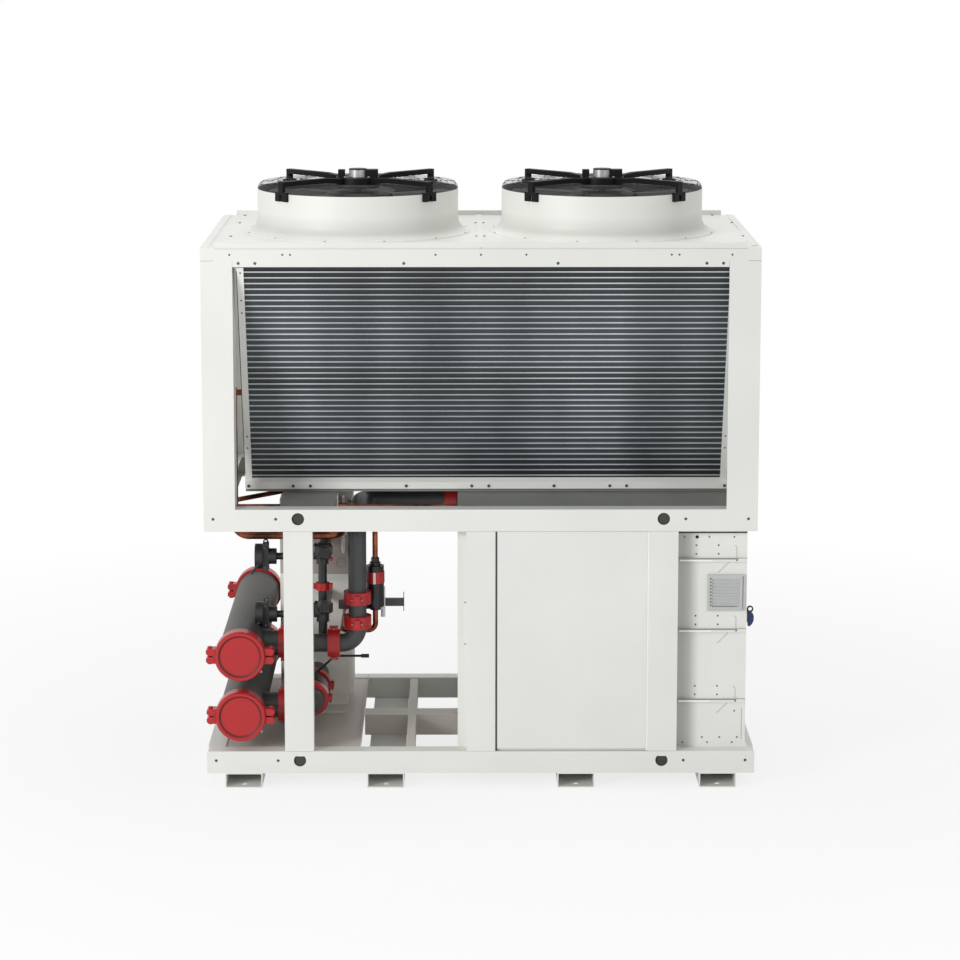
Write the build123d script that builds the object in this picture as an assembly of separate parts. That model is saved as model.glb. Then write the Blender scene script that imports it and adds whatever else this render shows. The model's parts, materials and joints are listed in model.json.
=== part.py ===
from build123d import *
import math
import os

# Air-cooled chiller on a folded sheet frame, in millimetres.
# X runs to the right along the front, Y from front to rear and Z up.
# The origin is on the ground at the middle of the footprint.

WIDTH = 2184
DEPTH = 1220
SHEET = 4
FIT = 0.3

FOOT_WIDTH = 147
FOOT_HEIGHT = 60
FOOT_INSET = 146
INNER_FOOT_X = 380
ANCHOR_HOLE_R = 11
ANCHOR_INSET = 43

BASE_TOP = 150
MID_BOTTOM = 1044
MID_TOP = 1132
RAIL_FLANGE = 70
RAIL_CORNER = 10
LIFT_HOLE_INSET = 371
LIFT_HOLE_R = 24.6
BOLT_HOLE_R = 6
BOLT_HOLE_INSETS = (284, 37)
HOLE_DROP = 38

POST_DEPTH = 70
POST_WIDTH = 115
POST_INSET = 369.5
CORNER_POST = 124
POST_RETURN = 30
DECK_TOP = 2170
FASCIA = 52
CAP_SIZE = 55
LIP_HEIGHT = 20
TOP_STRIP_DROP = 24
COVER_DROP = 139
COVER_LIP = 40

CROSS_DEPTH = 102
CROSS_Y = 0
RUNNER_WIDTH = 34
RUNNER_XS = (-282, 282)
CHANNEL_REACH = 161
CHANNEL_WIDTH = 218
CHANNEL_DROP = 22

COIL_LEFT_GAP = 167
COIL_RIGHT_GAP = 119
COIL_THICK = 55
COIL_TOP_INSET = 14
COIL_FOOT_INSET = 375
COIL_FOOT_RISE = 57
SILL_RISE = 14
COIL_TOP_GAP = 26
COIL_CAP = 26
TUBE_PITCH = 25.4
TUBE_RIDGE = 8
RIDGE_PROUD = 3
END_SHEET = 3

FAN_X = 497
COWL_R = 408.5
COWL_WALL = 4
COWL_FLANGE = 50.5
COWL_FLARE = 66
COWL_HEIGHT = 177
ARM_RISE = 50
ARM_WIDTH = 26
ARM_HEIGHT = 20
ARM_DIP = 10
ARM_BEND_R = 185
CLAMP_WIDTH = 64
CLAMP_HEIGHT = 79
MOTOR_R = 88
MOTOR_CAP_R = 36
MOTOR_RISE = 27
TIP_GAP = 12.5
ROTOR_DROP = 15
ROTOR_DEPTH = 106
BLADE_DROP = 24
HUB_R = 132
BLADES = 5
SHAFT_R = 14
GUARD_RINGS = 5
GUARD_SIDES = 40
GUARD_WIRE = 5
GUARD_DOME = 7

BAY_LEFT = -92
ENCLOSURE_WIDTH = 276
ENCLOSURE_END_INSET = 34
ENCLOSURE_INSET = 60
LEDGE_PITCH = 287
LEDGE_TOP = 925
LEDGE_HEIGHT = 16
VENT_SIZE = 147
VENT_TOP = 857
VENT_INSET = 10
HANDLE_Y = -515
HANDLE_Z = 682
HANDLE_R = 27

HEADER_INSET = 135
PAN_REACH = 477
HEADER_R = 90
HEADER_ZS = (290, 536)
CAP_RING_R = 101
CAP_FACE_R = 86
CAP_DEPTH = 65
EAR_REACH = 135
EAR_HEIGHT = 30
BRANCH_R = 36.5
BRANCH_BEND = 64
RISER_REACH = 461
UPPER_BRANCH_Y = -375
CROSSOVER_Y = 148
CROSSOVER_Z = 1025
LOWER_BRANCH_Y = -417
LOWER_RUN_REACH = 273
VALVE_Y = -200
STUB_R = 50.5
STUB_REACH = 142
GRIP_R = 56
GRIP_LENGTH = 50

EVAP_REACH = 122
EVAP_WIDTH = 300
EVAP_FRONT = 80
EVAP_BACK = 400
EVAP_BOTTOM = 200
EVAP_TOP = 1030
EVAP_CORNER = 16

CONTROL_Y = -310
CONTROL_ZS = (880, 640)
CONTROL_REACH = 46
LINK_REACH = 318

DRIER_REACH = 531
DRIER_Y = -305
DRIER_R = 35.5
DRIER_BOTTOM = 658
DRIER_TOP = 855
BAND_RISE = 112
BAND_HEIGHT = 47
STRUT_REACH = 151
STRUT_HEIGHT = 32
BRACKET_ARM = 86
PIN_LENGTH = 125
COPPER_R = 11
COPPER_BEND = 30
SUCTION_R = 17
SUCTION_BEND = 58
SUCTION_Z = 978
LEG_GAP = 36
LIQUID_DROP = 51
HOT_GAS_R = 14
HOT_GAS_DROP = 41
DRAIN_R = 10
DRAIN_DROP = 32
DRAIN_SLANT = 175

front = -DEPTH / 2
half = WIDTH / 2
inner = front + RAIL_FLANGE
post_xs = (POST_INSET - half, 0, half - POST_INSET)
fascia_bottom = DECK_TOP - FASCIA
cowl_rim = DECK_TOP + COWL_HEIGHT
arm_top = cowl_rim + ARM_RISE
motor_top = arm_top + MOTOR_RISE
rotor_top = cowl_rim - ROTOR_DROP
rotor_bottom = rotor_top - ROTOR_DEPTH
rotor_r = COWL_R - COWL_WALL - TIP_GAP
cowl_foot_r = COWL_R + COWL_FLANGE

coil_left = COIL_LEFT_GAP - half
coil_right = half - COIL_RIGHT_GAP
strip_left, strip_right = coil_left - COIL_CAP, coil_right + COIL_CAP
coil_foot_y = front + COIL_FOOT_INSET
coil_foot_z = MID_TOP + COIL_FOOT_RISE
sill_bottom = MID_TOP + SILL_RISE
coil_run = COIL_FOOT_INSET - COIL_TOP_INSET
coil_rise = fascia_bottom - COIL_TOP_GAP - coil_foot_z
coil_length = math.hypot(coil_rise, coil_run)
coil_plane = Plane(origin=(0, coil_foot_y, coil_foot_z), x_dir=(1, 0, 0), z_dir=(0, -coil_run, coil_rise))
enclosure_front = front + ENCLOSURE_INSET
enclosure_right = half - ENCLOSURE_END_INSET
enclosure_left = enclosure_right - ENCLOSURE_WIDTH

header_x = HEADER_INSET - half
pan_right = header_x + PAN_REACH
channel_left = header_x + CHANNEL_REACH
channel_right = channel_left + CHANNEL_WIDTH
stub_end = header_x + STUB_REACH
riser_x = header_x + RISER_REACH
lower_run_x = header_x + LOWER_RUN_REACH
evap_left = header_x + EVAP_REACH
evap_right = evap_left + EVAP_WIDTH
control_x = header_x + CONTROL_REACH
link_x = header_x + LINK_REACH
drier_x = header_x + DRIER_REACH


def block(x0, x1, y0, y1, z0, z1):
    """A box between two corners."""
    return Pos((x0 + x1) / 2, (y0 + y1) / 2, (z0 + z1) / 2) * Box(x1 - x0, y1 - y0, z1 - z0)


def rod(start, end, radius):
    """A round bar from one point to another."""
    way = Vector(*end) - Vector(*start)
    base_up = (Align.CENTER, Align.CENTER, Align.MIN)
    return Plane(origin=start, z_dir=way) * Cylinder(radius, way.length, align=base_up)


def tube(start, end, radius, wall):
    """A round pipe, open at both ends."""
    return rod(start, end, radius) - rod(start, end, radius - wall)


def prism(start, end, radius, sides):
    """A bar with flat sides, such as a bolt with its nuts."""
    way = Vector(*end) - Vector(*start)
    return extrude(Plane(origin=start, z_dir=way) * RegularPolygon(radius, sides), way.length)


def bent(points, radius, bend):
    """A round pipe that follows straight runs joined by smooth bends."""
    path = FilletPolyline(*points, radius=bend)
    return sweep(Plane(origin=path @ 0, z_dir=path % 0) * Circle(radius), path=path)


def front_and_rear(*pieces):
    """The pieces and their mirror images at the rear."""
    return [*pieces, *(mirror(piece, about=Plane.XZ) for piece in pieces)]


def left_and_right(*pieces):
    """The pieces and their mirror images on the right."""
    return [*pieces, *(mirror(piece, about=Plane.YZ) for piece in pieces)]


# Base and frame

def front_rail(low, high):
    """A rail folded from sheet with closed ends, its open side to the rear."""
    rail = block(-half, half, front, inner, low, high)
    rail -= block(-half + SHEET, half - SHEET, front + SHEET, inner + 1, low + SHEET, high - SHEET)
    return drilled(rail, high)


def closed_rail(low, high):
    """A box rail with rounded upper corners at its ends."""
    rail = block(-half, half, front, inner, low, high)
    rail = fillet(rail.edges().filter_by(Axis.Y).group_by(Axis.Z)[-1], RAIL_CORNER)
    rail -= block(-half + SHEET, half - SHEET, front + SHEET, inner - SHEET, low + SHEET, high - SHEET)
    return drilled(rail, high)


def drilled(rail, high):
    """The rail with its lifting holes and bolt holes through the front wall."""
    z = high - HOLE_DROP
    bolt_holes = [(inset, BOLT_HOLE_R) for inset in BOLT_HOLE_INSETS]
    for inset, radius in ((LIFT_HOLE_INSET, LIFT_HOLE_R), *bolt_holes):
        for x in (inset - half, half - inset):
            rail -= rod((x, front - 1, z), (x, front + SHEET + 1, z), radius)
    return rail


def side_rail(low, high):
    """A side rail folded from sheet, its open side inwards."""
    rail = block(-half, -half + RAIL_FLANGE, inner, -inner, low, high)
    return rail - block(-half + SHEET, half, inner - 1, 1 - inner, low + SHEET, high - SHEET)


def base_rails():
    return front_and_rear(closed_rail(FOOT_HEIGHT, BASE_TOP))


def base_side_rails():
    return left_and_right(side_rail(FOOT_HEIGHT, BASE_TOP))


def feet():
    """Open box feet with an anchor hole in the floor of each end."""
    made = []
    for x in (FOOT_INSET - half, -INNER_FOOT_X, INNER_FOOT_X, half - FOOT_INSET):
        foot = block(x - FOOT_WIDTH / 2, x + FOOT_WIDTH / 2, front, -front, 0, FOOT_HEIGHT)
        foot -= block(x - FOOT_WIDTH / 2 + SHEET, x + FOOT_WIDTH / 2 - SHEET, front - 1, 1 - front,
                      SHEET, FOOT_HEIGHT - SHEET)
        for y in (front + ANCHOR_INSET, -front - ANCHOR_INSET):
            foot -= Pos(x, y, 0) * Cylinder(ANCHOR_HOLE_R, 3 * SHEET)
        made.append(foot)
    return made


def floor_pan():
    """The pan under the pipework with its turned-up right edge."""
    top = BASE_TOP - SHEET
    pan = block(-half + SHEET, pan_right, inner, -inner, top - 3, top)
    return pan + block(pan_right - 3, pan_right, inner + 1, -inner - 1, top - 3, BASE_TOP + 14)


def base_members():
    """The folded member across the middle of the base and the runners that meet it."""
    low, high = FOOT_HEIGHT, BASE_TOP - SHEET
    near, far = CROSS_Y - CROSS_DEPTH / 2, CROSS_Y + CROSS_DEPTH / 2
    member = block(pan_right + 1, half - RAIL_FLANGE, near, far, low, high)
    member -= block(pan_right, half, near + SHEET, far - SHEET, low - 1, high - SHEET)
    for x in RUNNER_XS:
        left, right = x - RUNNER_WIDTH / 2, x + RUNNER_WIDTH / 2
        member += block(left, right, inner, near, low + SHEET, high)
        member += block(left, right, far, -inner, low + SHEET, high)
    return member


def mid_rails():
    return front_and_rear(front_rail(MID_BOTTOM, MID_TOP))


def mid_side_rails():
    return left_and_right(side_rail(MID_BOTTOM, MID_TOP))


def mid_covers():
    """The channel over the pipework and the sheet over the closed bay, level with the middle rails."""
    channel = block(channel_left, channel_right, inner, -inner, MID_TOP - CHANNEL_DROP, MID_TOP)
    left, right = channel_left + SHEET, channel_right - SHEET
    channel -= block(left, right, inner - 1, 1 - inner, MID_BOTTOM, MID_TOP - SHEET)
    return [channel, block(BAY_LEFT, half - RAIL_FLANGE, inner, -inner, MID_TOP - 3, MID_TOP)]


def lower_posts():
    """Box posts between the base and the middle rails."""
    made = []
    for x in post_xs:
        post = block(x - POST_WIDTH / 2, x + POST_WIDTH / 2, front, front + POST_DEPTH, BASE_TOP, MID_BOTTOM)
        post -= block(x - POST_WIDTH / 2 + SHEET, x + POST_WIDTH / 2 - SHEET, front + SHEET,
                      front + POST_DEPTH - SHEET, BASE_TOP - 1, MID_BOTTOM + 1)
        made.append(post)
    return front_and_rear(*made)


def corner_post():
    """A folded corner post, open towards the coils."""
    far = front + CORNER_POST
    post = block(-half, CORNER_POST - half, front, far, MID_TOP, fascia_bottom)
    post -= block(-half + SHEET, half, front + SHEET, -front, MID_TOP - 1, fascia_bottom + 1)
    return post + block(-half, POST_RETURN - half, far - SHEET, far, MID_TOP, fascia_bottom)


def corner_posts():
    """The corner posts that carry the top of the frame, the left ones with a filler beside the coils."""
    edge = CORNER_POST - half
    filler = block(edge - SHEET, edge, front + SHEET - 1, front + CORNER_POST, MID_TOP, fascia_bottom)
    return front_and_rear(corner_post() + filler, mirror(corner_post(), about=Plane.YZ))


def corner_caps():
    """The boxed corners of the top frame."""
    high = DECK_TOP - SHEET
    cap = block(-half, CAP_SIZE - half, front, front + CAP_SIZE, fascia_bottom, high)
    return front_and_rear(*left_and_right(cap))


def top_rails():
    """Front and rear top rails with the closing strip above each coil."""
    high = DECK_TOP - SHEET
    edge = half - CAP_SIZE
    rail = block(-edge, edge, front, front + CAP_SIZE, fascia_bottom, high)
    rail -= block(-edge - 1, edge + 1, front + SHEET, front + CAP_SIZE + 1, fascia_bottom + SHEET, high - SHEET)
    edge, low = half - CORNER_POST - 1, fascia_bottom - TOP_STRIP_DROP
    rail += block(-edge, edge, front, front + SHEET, low, fascia_bottom + 1)
    return front_and_rear(rail)


def top_side_rails():
    high = DECK_TOP - SHEET
    rail = block(-half, CAP_SIZE - half, front + CAP_SIZE, -front - CAP_SIZE, fascia_bottom, high)
    rail -= block(-half + SHEET, CAP_SIZE + 1 - half, front, -front, fascia_bottom + SHEET, high - SHEET)
    return left_and_right(rail)


def side_cover():
    """The flat cover on the right-hand end of the coil section."""
    y = -front - CORNER_POST
    cover = block(half - SHEET, half, -y, y, MID_TOP + SHEET, fascia_bottom - COVER_DROP)
    return cover + block(half - COVER_LIP, half, -y, y, MID_TOP, MID_TOP + SHEET)


# Deck and fans

def deck_half(side):
    """One half of the deck, open under its fan."""
    edges = sorted((side * 1.5, side * half))
    sheet = block(*edges, front, -front, DECK_TOP - SHEET, DECK_TOP)
    return sheet - Pos(side * FAN_X, 0, DECK_TOP) * Cylinder(COWL_R - COWL_WALL, 4 * SHEET)


def deck():
    return [deck_half(-1), deck_half(1)]


def deck_trim():
    """Upstand lips along the front and rear edges and the raised strip over the joint."""
    edge = half - CAP_SIZE
    lip = block(-edge, edge, front + 2, front + 5, DECK_TOP, DECK_TOP + LIP_HEIGHT)
    strip = block(-12, 12, front + 12, -front - 12, DECK_TOP, DECK_TOP + 4)
    return [*front_and_rear(lip), strip]


def fan_cowl(side):
    """A fan cowl that flares out in a hollow curve to the deck."""
    low, high, bend = DECK_TOP, cowl_rim, DECK_TOP + COWL_FLARE
    bow = (COWL_R + 10, low + COWL_FLARE * 0.42)
    with BuildSketch(Plane.XZ) as profile:
        with BuildLine():
            Polyline((COWL_R, bend), (COWL_R, high), (COWL_R - COWL_WALL, high), (COWL_R - COWL_WALL, low),
                     (cowl_foot_r, low), (cowl_foot_r, low + 3))
            ThreePointArc((cowl_foot_r, low + 3), bow, (COWL_R, bend))
        make_face()
    return Pos(side * FAN_X, 0, 0) * revolve(profile.sketch, axis=Axis.Z)


def fan_cowl_left():
    return fan_cowl(-1)


def fan_cowl_right():
    return fan_cowl(1)


def guard_height(radius):
    """Height of the guard's dome at a radius from the fan's axis."""
    return cowl_rim + 8 + GUARD_DOME * (1 - (radius / COWL_R) ** 2)


def fan_guard(side):
    """Wire rings of the guard on four domed spokes that rest on the cowl's rim."""
    wire, outer_r, inner_r = GUARD_WIRE, COWL_R - 1, MOTOR_R + 20
    middle_r = (inner_r + outer_r) / 2
    over = [(r, guard_height(r) + wire / 2) for r in (inner_r, middle_r, outer_r)]
    under = [(r, z - wire) for r, z in reversed(over[:2])]
    foot = [(outer_r, cowl_rim), (outer_r - wire, cowl_rim), (outer_r - wire, over[2][1] - wire)]
    outline = [*over, *foot, *under]
    spoke = extrude(make_face(Plane.XZ * Polyline(*outline, close=True)), wire / 2, both=True)
    made = spoke
    for turn in (90, 180, 270):
        made += Rot(0, 0, turn) * spoke
    for ring in range(GUARD_RINGS):
        radius = outer_r - ring * (outer_r - inner_r - 2) / (GUARD_RINGS - 1)
        hoop = RegularPolygon(radius, GUARD_SIDES) - RegularPolygon(radius - wire, GUARD_SIDES)
        made += Pos(0, 0, guard_height(radius) - wire / 2) * extrude(hoop, wire)
    return Pos(side * FAN_X, 0, 0) * made


def fan_guards():
    return [fan_guard(-1), fan_guard(1)]


def fan_arm():
    """One arm that dips to the motor, with a forked clamp foot on the outside of the cowl."""
    reach, high, low = COWL_R + 14, arm_top, arm_top - ARM_HEIGHT
    over = [(reach, high), (ARM_BEND_R, high), (MOTOR_R - 8, high - ARM_DIP)]
    under = [(MOTOR_R - 8, low - ARM_DIP), (ARM_BEND_R + 6, low), (reach, low)]
    arm = extrude(make_face(Plane.XZ * Polyline(*over, *under, close=True)), ARM_WIDTH / 2, both=True)
    foot = block(COWL_R - 12, reach, -CLAMP_WIDTH / 2, CLAMP_WIDTH / 2, high - CLAMP_HEIGHT, low - 22)
    foot += block(COWL_R - 12, reach, -ARM_WIDTH / 2, ARM_WIDTH / 2, low - 23, low + 1)
    foot -= block(COWL_R - 13, reach + 1, -7, 7, high - CLAMP_HEIGHT - 1, low - 34)
    foot -= Pos(0, 0, high) * Cylinder(COWL_R, 3 * CLAMP_HEIGHT)
    return arm + foot


def fan_arms(side):
    """Four arms and the fixed motor in the middle, with its terminal box and shaft."""
    low, high = rotor_top + 14, arm_top - ARM_DIP + 4
    made = Pos(0, 0, (low + high) / 2) * Cylinder(MOTOR_R, high - low)
    for turn in (45, 135, 225, 315):
        made += Rot(0, 0, turn) * fan_arm()
    made += Pos(0, 0, (high + motor_top) / 2) * Cylinder(MOTOR_CAP_R, motor_top - high)
    made += block(MOTOR_CAP_R - 4, MOTOR_CAP_R + 46, -24, 24, high - 1, motor_top - 3)
    shaft = Pos(0, 0, (rotor_top + rotor_bottom) / 2 + 12) * Cylinder(SHAFT_R, rotor_top - rotor_bottom + 4)
    return Pos(side * FAN_X, 0, 0) * (made + shaft)


def fan_arms_left():
    return fan_arms(-1)


def fan_arms_right():
    return fan_arms(1)


def blade_section(radius, chord, pitch, sweep_angle, thick):
    """A blade section: a thin cambered outline set across the radius at its pitch."""
    turn = math.radians(sweep_angle)
    middle = (radius * math.cos(turn), radius * math.sin(turn), rotor_top - BLADE_DROP)
    along = (-math.sin(turn), math.cos(turn), 0)
    plane = Plane(origin=middle, x_dir=along, z_dir=(math.cos(turn), math.sin(turn), 0)).rotated((0, 0, pitch))
    camber = chord * 0.06
    outline = [(-chord / 2, 0), (-chord / 5, camber), (chord / 5, camber), (chord / 2, 0),
               (chord / 5, camber + thick), (-chord / 5, camber + thick)]
    return make_face(plane * Polyline(*outline, close=True))


def fan_blade():
    """One broad swept blade, lofted from its root to its tip so that it twists."""
    root = blade_section(HUB_R - 8, 132, 30, 0, 7)
    middle = blade_section((HUB_R + rotor_r) / 2, 215, 20, 7, 6)
    tip = blade_section(rotor_r - 12, 270, 12, 18, 4)
    return loft([root, middle, tip], ruled=True) & Pos(0, 0, rotor_top - 60) * Cylinder(rotor_r, 400)


def fan_rotor(side):
    """Domed hub with its twisted blades, bored for the shaft."""
    bottom, high = rotor_bottom, rotor_top
    with BuildSketch(Plane.XZ) as profile:
        with BuildLine():
            Polyline((SHAFT_R + FIT, bottom + 6), (SHAFT_R + FIT, high), (HUB_R - 22, high))
            ThreePointArc((HUB_R - 22, high), (HUB_R - 6.5, high - 6.5), (HUB_R, high - 22))
            Polyline((HUB_R, high - 22), (HUB_R, bottom + 6), (SHAFT_R + FIT, bottom + 6))
        make_face()
    rotor = revolve(profile.sketch, axis=Axis.Z)
    blade = fan_blade()
    for turn in range(BLADES):
        rotor += Rot(0, 0, turn * 360 / BLADES) * blade
    return Pos(side * FAN_X, 0, 0) * rotor


def fan_rotor_left():
    return fan_rotor(-1)


def fan_rotor_right():
    return fan_rotor(1)


# Coils in a vee

def sloped(x0, x1, y0, y1, z0, z1):
    """A box laid in the front coil's plane: Y goes into the coil and Z up its slope."""
    return coil_plane * block(x0, x1, y0, y1, z0, z1)


def coil():
    """The front coil, its face ridged where the rows of tubes pass behind the fins."""
    outline = [(0, 0)]
    for row in range(int(coil_length / TUBE_PITCH)):
        low = (row + 0.5) * TUBE_PITCH - TUBE_RIDGE / 2
        outline += [(0, low), (-RIDGE_PROUD, low), (-RIDGE_PROUD, low + TUBE_RIDGE), (0, low + TUBE_RIDGE)]
    outline += [(0, coil_length), (COIL_THICK, coil_length), (COIL_THICK, 0)]
    slab = extrude(make_face(Plane.YZ * Polyline(*outline, close=True)), coil_right - coil_left, dir=(1, 0, 0))
    return coil_plane * (Pos(coil_left, 0, 0) * slab)


def coils():
    return front_and_rear(coil())


def coil_end_strips():
    """The strips that cap the ends of each coil."""
    return front_and_rear(sloped(strip_left, coil_left, -6, COIL_THICK, 0, coil_length),
                          sloped(coil_right, strip_right, -6, COIL_THICK, 0, coil_length))


def coil_sills():
    """The folded sill that carries the lower edge of each coil."""
    lean = COIL_THICK * coil_run / coil_length
    y, z = coil_foot_y, coil_foot_z
    outline = [(y - 20, sill_bottom), (y + 52, sill_bottom), (y + 52, z + lean), (y, z), (y - 20, z - 16)]
    sill = extrude(make_face(Plane.YZ * Polyline(*outline, close=True)), strip_right - strip_left, dir=(1, 0, 0))
    return front_and_rear(Pos(strip_left, 0, 0) * sill)


def sill_rests():
    """The bars that carry the two sills over the middle of the frame."""
    return front_and_rear(block(strip_left, strip_right, coil_foot_y, coil_foot_y + 40, MID_TOP, sill_bottom))


def end_panel(x):
    """The tapered sheet that closes one end of the vee."""
    foot_y, foot_z, top_y = coil_foot_y, coil_foot_z, front + COIL_TOP_INSET
    inset_y, low, under, high = top_y + 62, sill_bottom, fascia_bottom - 1, DECK_TOP - SHEET
    edge = [(foot_y, low), (foot_y, foot_z), (top_y, foot_z + coil_rise), (top_y, under),
            (inset_y, under), (inset_y, high)]
    outline = [*edge, *((-y, z) for y, z in reversed(edge))]
    return Pos(x, 0, 0) * extrude(make_face(Plane.YZ * Polyline(*outline, close=True)), END_SHEET, dir=(1, 0, 0))


def end_panels():
    return [end_panel(strip_left - END_SHEET), end_panel(strip_right)]


def vee_tray():
    """The tray that closes the vee between the two sills."""
    edge = -coil_foot_y - 52
    return block(strip_left, strip_right, -edge, edge, sill_bottom, sill_bottom + 3)


# Closed bay and electrical enclosure

def bay_side():
    """The left wall of the closed bay, with a flange turned out at each end."""
    wall = block(BAY_LEFT, BAY_LEFT + 3, inner, -inner, BASE_TOP, MID_TOP - 3)
    for y in (inner, -inner - 3):
        wall += block(BAY_LEFT, BAY_LEFT + 37.5, y, y + 3, BASE_TOP, MID_TOP - 3)
    return wall


def bay_panels():
    """Front and rear lift-off panels, each a shallow tray between two posts."""
    left, right = post_xs[1] + POST_WIDTH / 2, post_xs[2] - POST_WIDTH / 2
    tray = block(left, right, front + 16, inner, BASE_TOP, MID_BOTTOM)
    face = block(left + 8, right - 8, front + 4, front + 16, BASE_TOP + 9, MID_BOTTOM)
    return front_and_rear(tray + face)


def enclosure():
    """The electrical enclosure at the right-hand end, with a boss for its disconnect and a small gusset."""
    box = block(enclosure_left, enclosure_right, enclosure_front, -enclosure_front, BASE_TOP, MID_BOTTOM)
    x, y, z = enclosure_right, HANDLE_Y, HANDLE_Z
    box += rod((x - 1, y, z), (x + 3, y, z), HANDLE_R + 4)
    corner = [(x, BASE_TOP), (x + 13, BASE_TOP), (x, BASE_TOP + 24)]
    gusset = make_face(Plane.XZ.offset(-enclosure_front) * Polyline(*corner, close=True))
    return box + extrude(gusset, 3, dir=(0, 1, 0))


def enclosure_ledges():
    """Folded ledges across the front and rear faces of the enclosure."""
    made = []
    for step in range(3):
        high, y = LEDGE_TOP - step * LEDGE_PITCH, enclosure_front
        low = high - LEDGE_HEIGHT
        ledge = block(enclosure_left + 5, enclosure_right - 2, y - 10, y, low, high)
        made.append(ledge - block(enclosure_left, enclosure_right, y - 7, y + 1, low - 1, high - 3))
    return front_and_rear(*made)


def vent_grille():
    """The filter vent on the front of the enclosure, its face set back between slats."""
    right, high, y = enclosure_right - VENT_INSET, VENT_TOP, enclosure_front
    left, low = right - VENT_SIZE, high - VENT_SIZE
    grille = block(left, right, y - 9, y, low, high)
    slat = (VENT_SIZE - 30) / 9
    for row in range(9):
        foot = low + 15 + row * slat
        grille -= block(left + 18, right - 18, y - 10, y - 5, foot + 2, foot + slat - 2)
    return grille


def handle():
    """The rotary handle of the disconnect: a disc, a curved grip and a loop for a padlock."""
    x, y, z = enclosure_right + 3.5, HANDLE_Y, HANDLE_Z
    made = rod((x, y, z), (x + 6, y, z), HANDLE_R)
    with BuildSketch(Plane.XZ.offset(-y)) as profile:
        with BuildLine():
            Line((x + 5, z - 42), (x + 5, z + 16))
            ThreePointArc((x + 5, z + 16), (x + 22, z + 11), (x + 28, z - 7))
            ThreePointArc((x + 28, z - 7), (x + 24, z - 28), (x + 12, z - 42))
            Line((x + 12, z - 42), (x + 5, z - 42))
        make_face()
    made += extrude(profile.sketch, 14, both=True)
    loop = Pos(x + 14, y, z + 26) * Rot(90, 0, 0) * (Cylinder(13, 8) - Cylinder(7.5, 9))
    return made + loop


# Water pipework

def header(z, radius=HEADER_R):
    return rod((header_x, front + CAP_DEPTH - 20, z), (header_x, -front - CAP_DEPTH + 20, z), radius)


def headers():
    """The two water headers that run the full depth of the unit."""
    return [header(z) for z in HEADER_ZS]


def end_coupling(z):
    """A split clamp with two ears and a dished cap that closes a header."""
    bore, seat, end = HEADER_R + FIT, front + CAP_DEPTH - 20, front + CAP_DEPTH
    outline = [(0, front + 8), (CAP_FACE_R, front + 8), (CAP_FACE_R, front), (CAP_RING_R - 4, front),
               (CAP_RING_R, front + 8), (CAP_RING_R, end), (bore, end), (bore, seat), (0, seat)]
    face = make_face(Polyline(*outline, close=True))
    ring = Pos(header_x, 0, z) * revolve(face, axis=Axis.Y)
    near, far = front + 12, front + CAP_DEPTH - 6
    for side in (-1, 1):
        x0, x1 = sorted((header_x + side * (CAP_RING_R - 10), header_x + side * EAR_REACH))
        for z0 in (z - EAR_HEIGHT, z + 3):
            ear = block(x0, x1, near, far, z0, z0 + EAR_HEIGHT - 3)
            outer = ear.edges().filter_by(Axis.Y).sort_by(Axis.X)
            ring += chamfer(outer[-2:] if side > 0 else outer[:2], 8)
        x = header_x + side * (EAR_REACH - 14)
        ring += prism((x, (near + far) / 2, z - 36), (x, (near + far) / 2, z + 36), 9, 6)
    return ring


def end_couplings():
    return front_and_rear(*(end_coupling(z) for z in HEADER_ZS))


def grip(middle, way, pads, pipe, radius=GRIP_R, length=GRIP_LENGTH):
    """A grooved pipe coupling: a round band with two bolted pads in the direction given."""
    across = Plane(origin=middle, x_dir=pads, z_dir=way)
    pad = Box(2 * radius + 26, 22, 0.7 * length)
    return across * (Cylinder(radius, length) + pad - Cylinder(pipe + FIT, 2 * length))


def upper_branch():
    """The branch from the upper header, up through its riser and over to the closed bay."""
    y, z, high = UPPER_BRANCH_Y, HEADER_ZS[1], CROSSOVER_Z
    stub = rod((header_x + HEADER_R / 2, y, z), (stub_end, y, z), STUB_R) - header(z, HEADER_R + FIT)
    run = bent([(stub_end, y, z), (riser_x, y, z), (riser_x, y, high), (riser_x, CROSSOVER_Y, high),
                (BAY_LEFT, CROSSOVER_Y, high)], BRANCH_R, BRANCH_BEND)
    return stub + run


def lower_branch():
    """The wider branch from the lower header, back to the heat exchanger."""
    y, z = LOWER_BRANCH_Y, HEADER_ZS[0]
    return bent([(header_x + HEADER_R / 2, y, z), (lower_run_x, y, z), (lower_run_x, EVAP_FRONT, z)], STUB_R,
                BRANCH_BEND) - header(z, HEADER_R + FIT)


def pipe_grips():
    """The red couplings on the branches, the riser and the valve link."""
    high, low = HEADER_ZS[1], HEADER_ZS[0]
    right, back, up = (1, 0, 0), (0, 1, 0), (0, 0, 1)
    return [grip((stub_end + 25, UPPER_BRANCH_Y, high), right, up, BRANCH_R, 60),
            grip((riser_x - 96, UPPER_BRANCH_Y, high), right, up, BRANCH_R),
            grip((riser_x, UPPER_BRANCH_Y, high + 89), up, back, BRANCH_R),
            grip((riser_x, UPPER_BRANCH_Y, high + 189), up, back, BRANCH_R),
            grip((BAY_LEFT - 30, CROSSOVER_Y, CROSSOVER_Z), right, up, BRANCH_R, 50),
            grip((stub_end + 25, LOWER_BRANCH_Y, low), right, up, STUB_R, 64),
            grip((lower_run_x, VALVE_Y - 110, low), back, right, STUB_R, 68),
            grip((lower_run_x, VALVE_Y + 90, low), back, right, STUB_R, 68),
            grip((link_x, CONTROL_Y, CONTROL_ZS[0] - 124), up, right, 18, 28, 30)]


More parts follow.
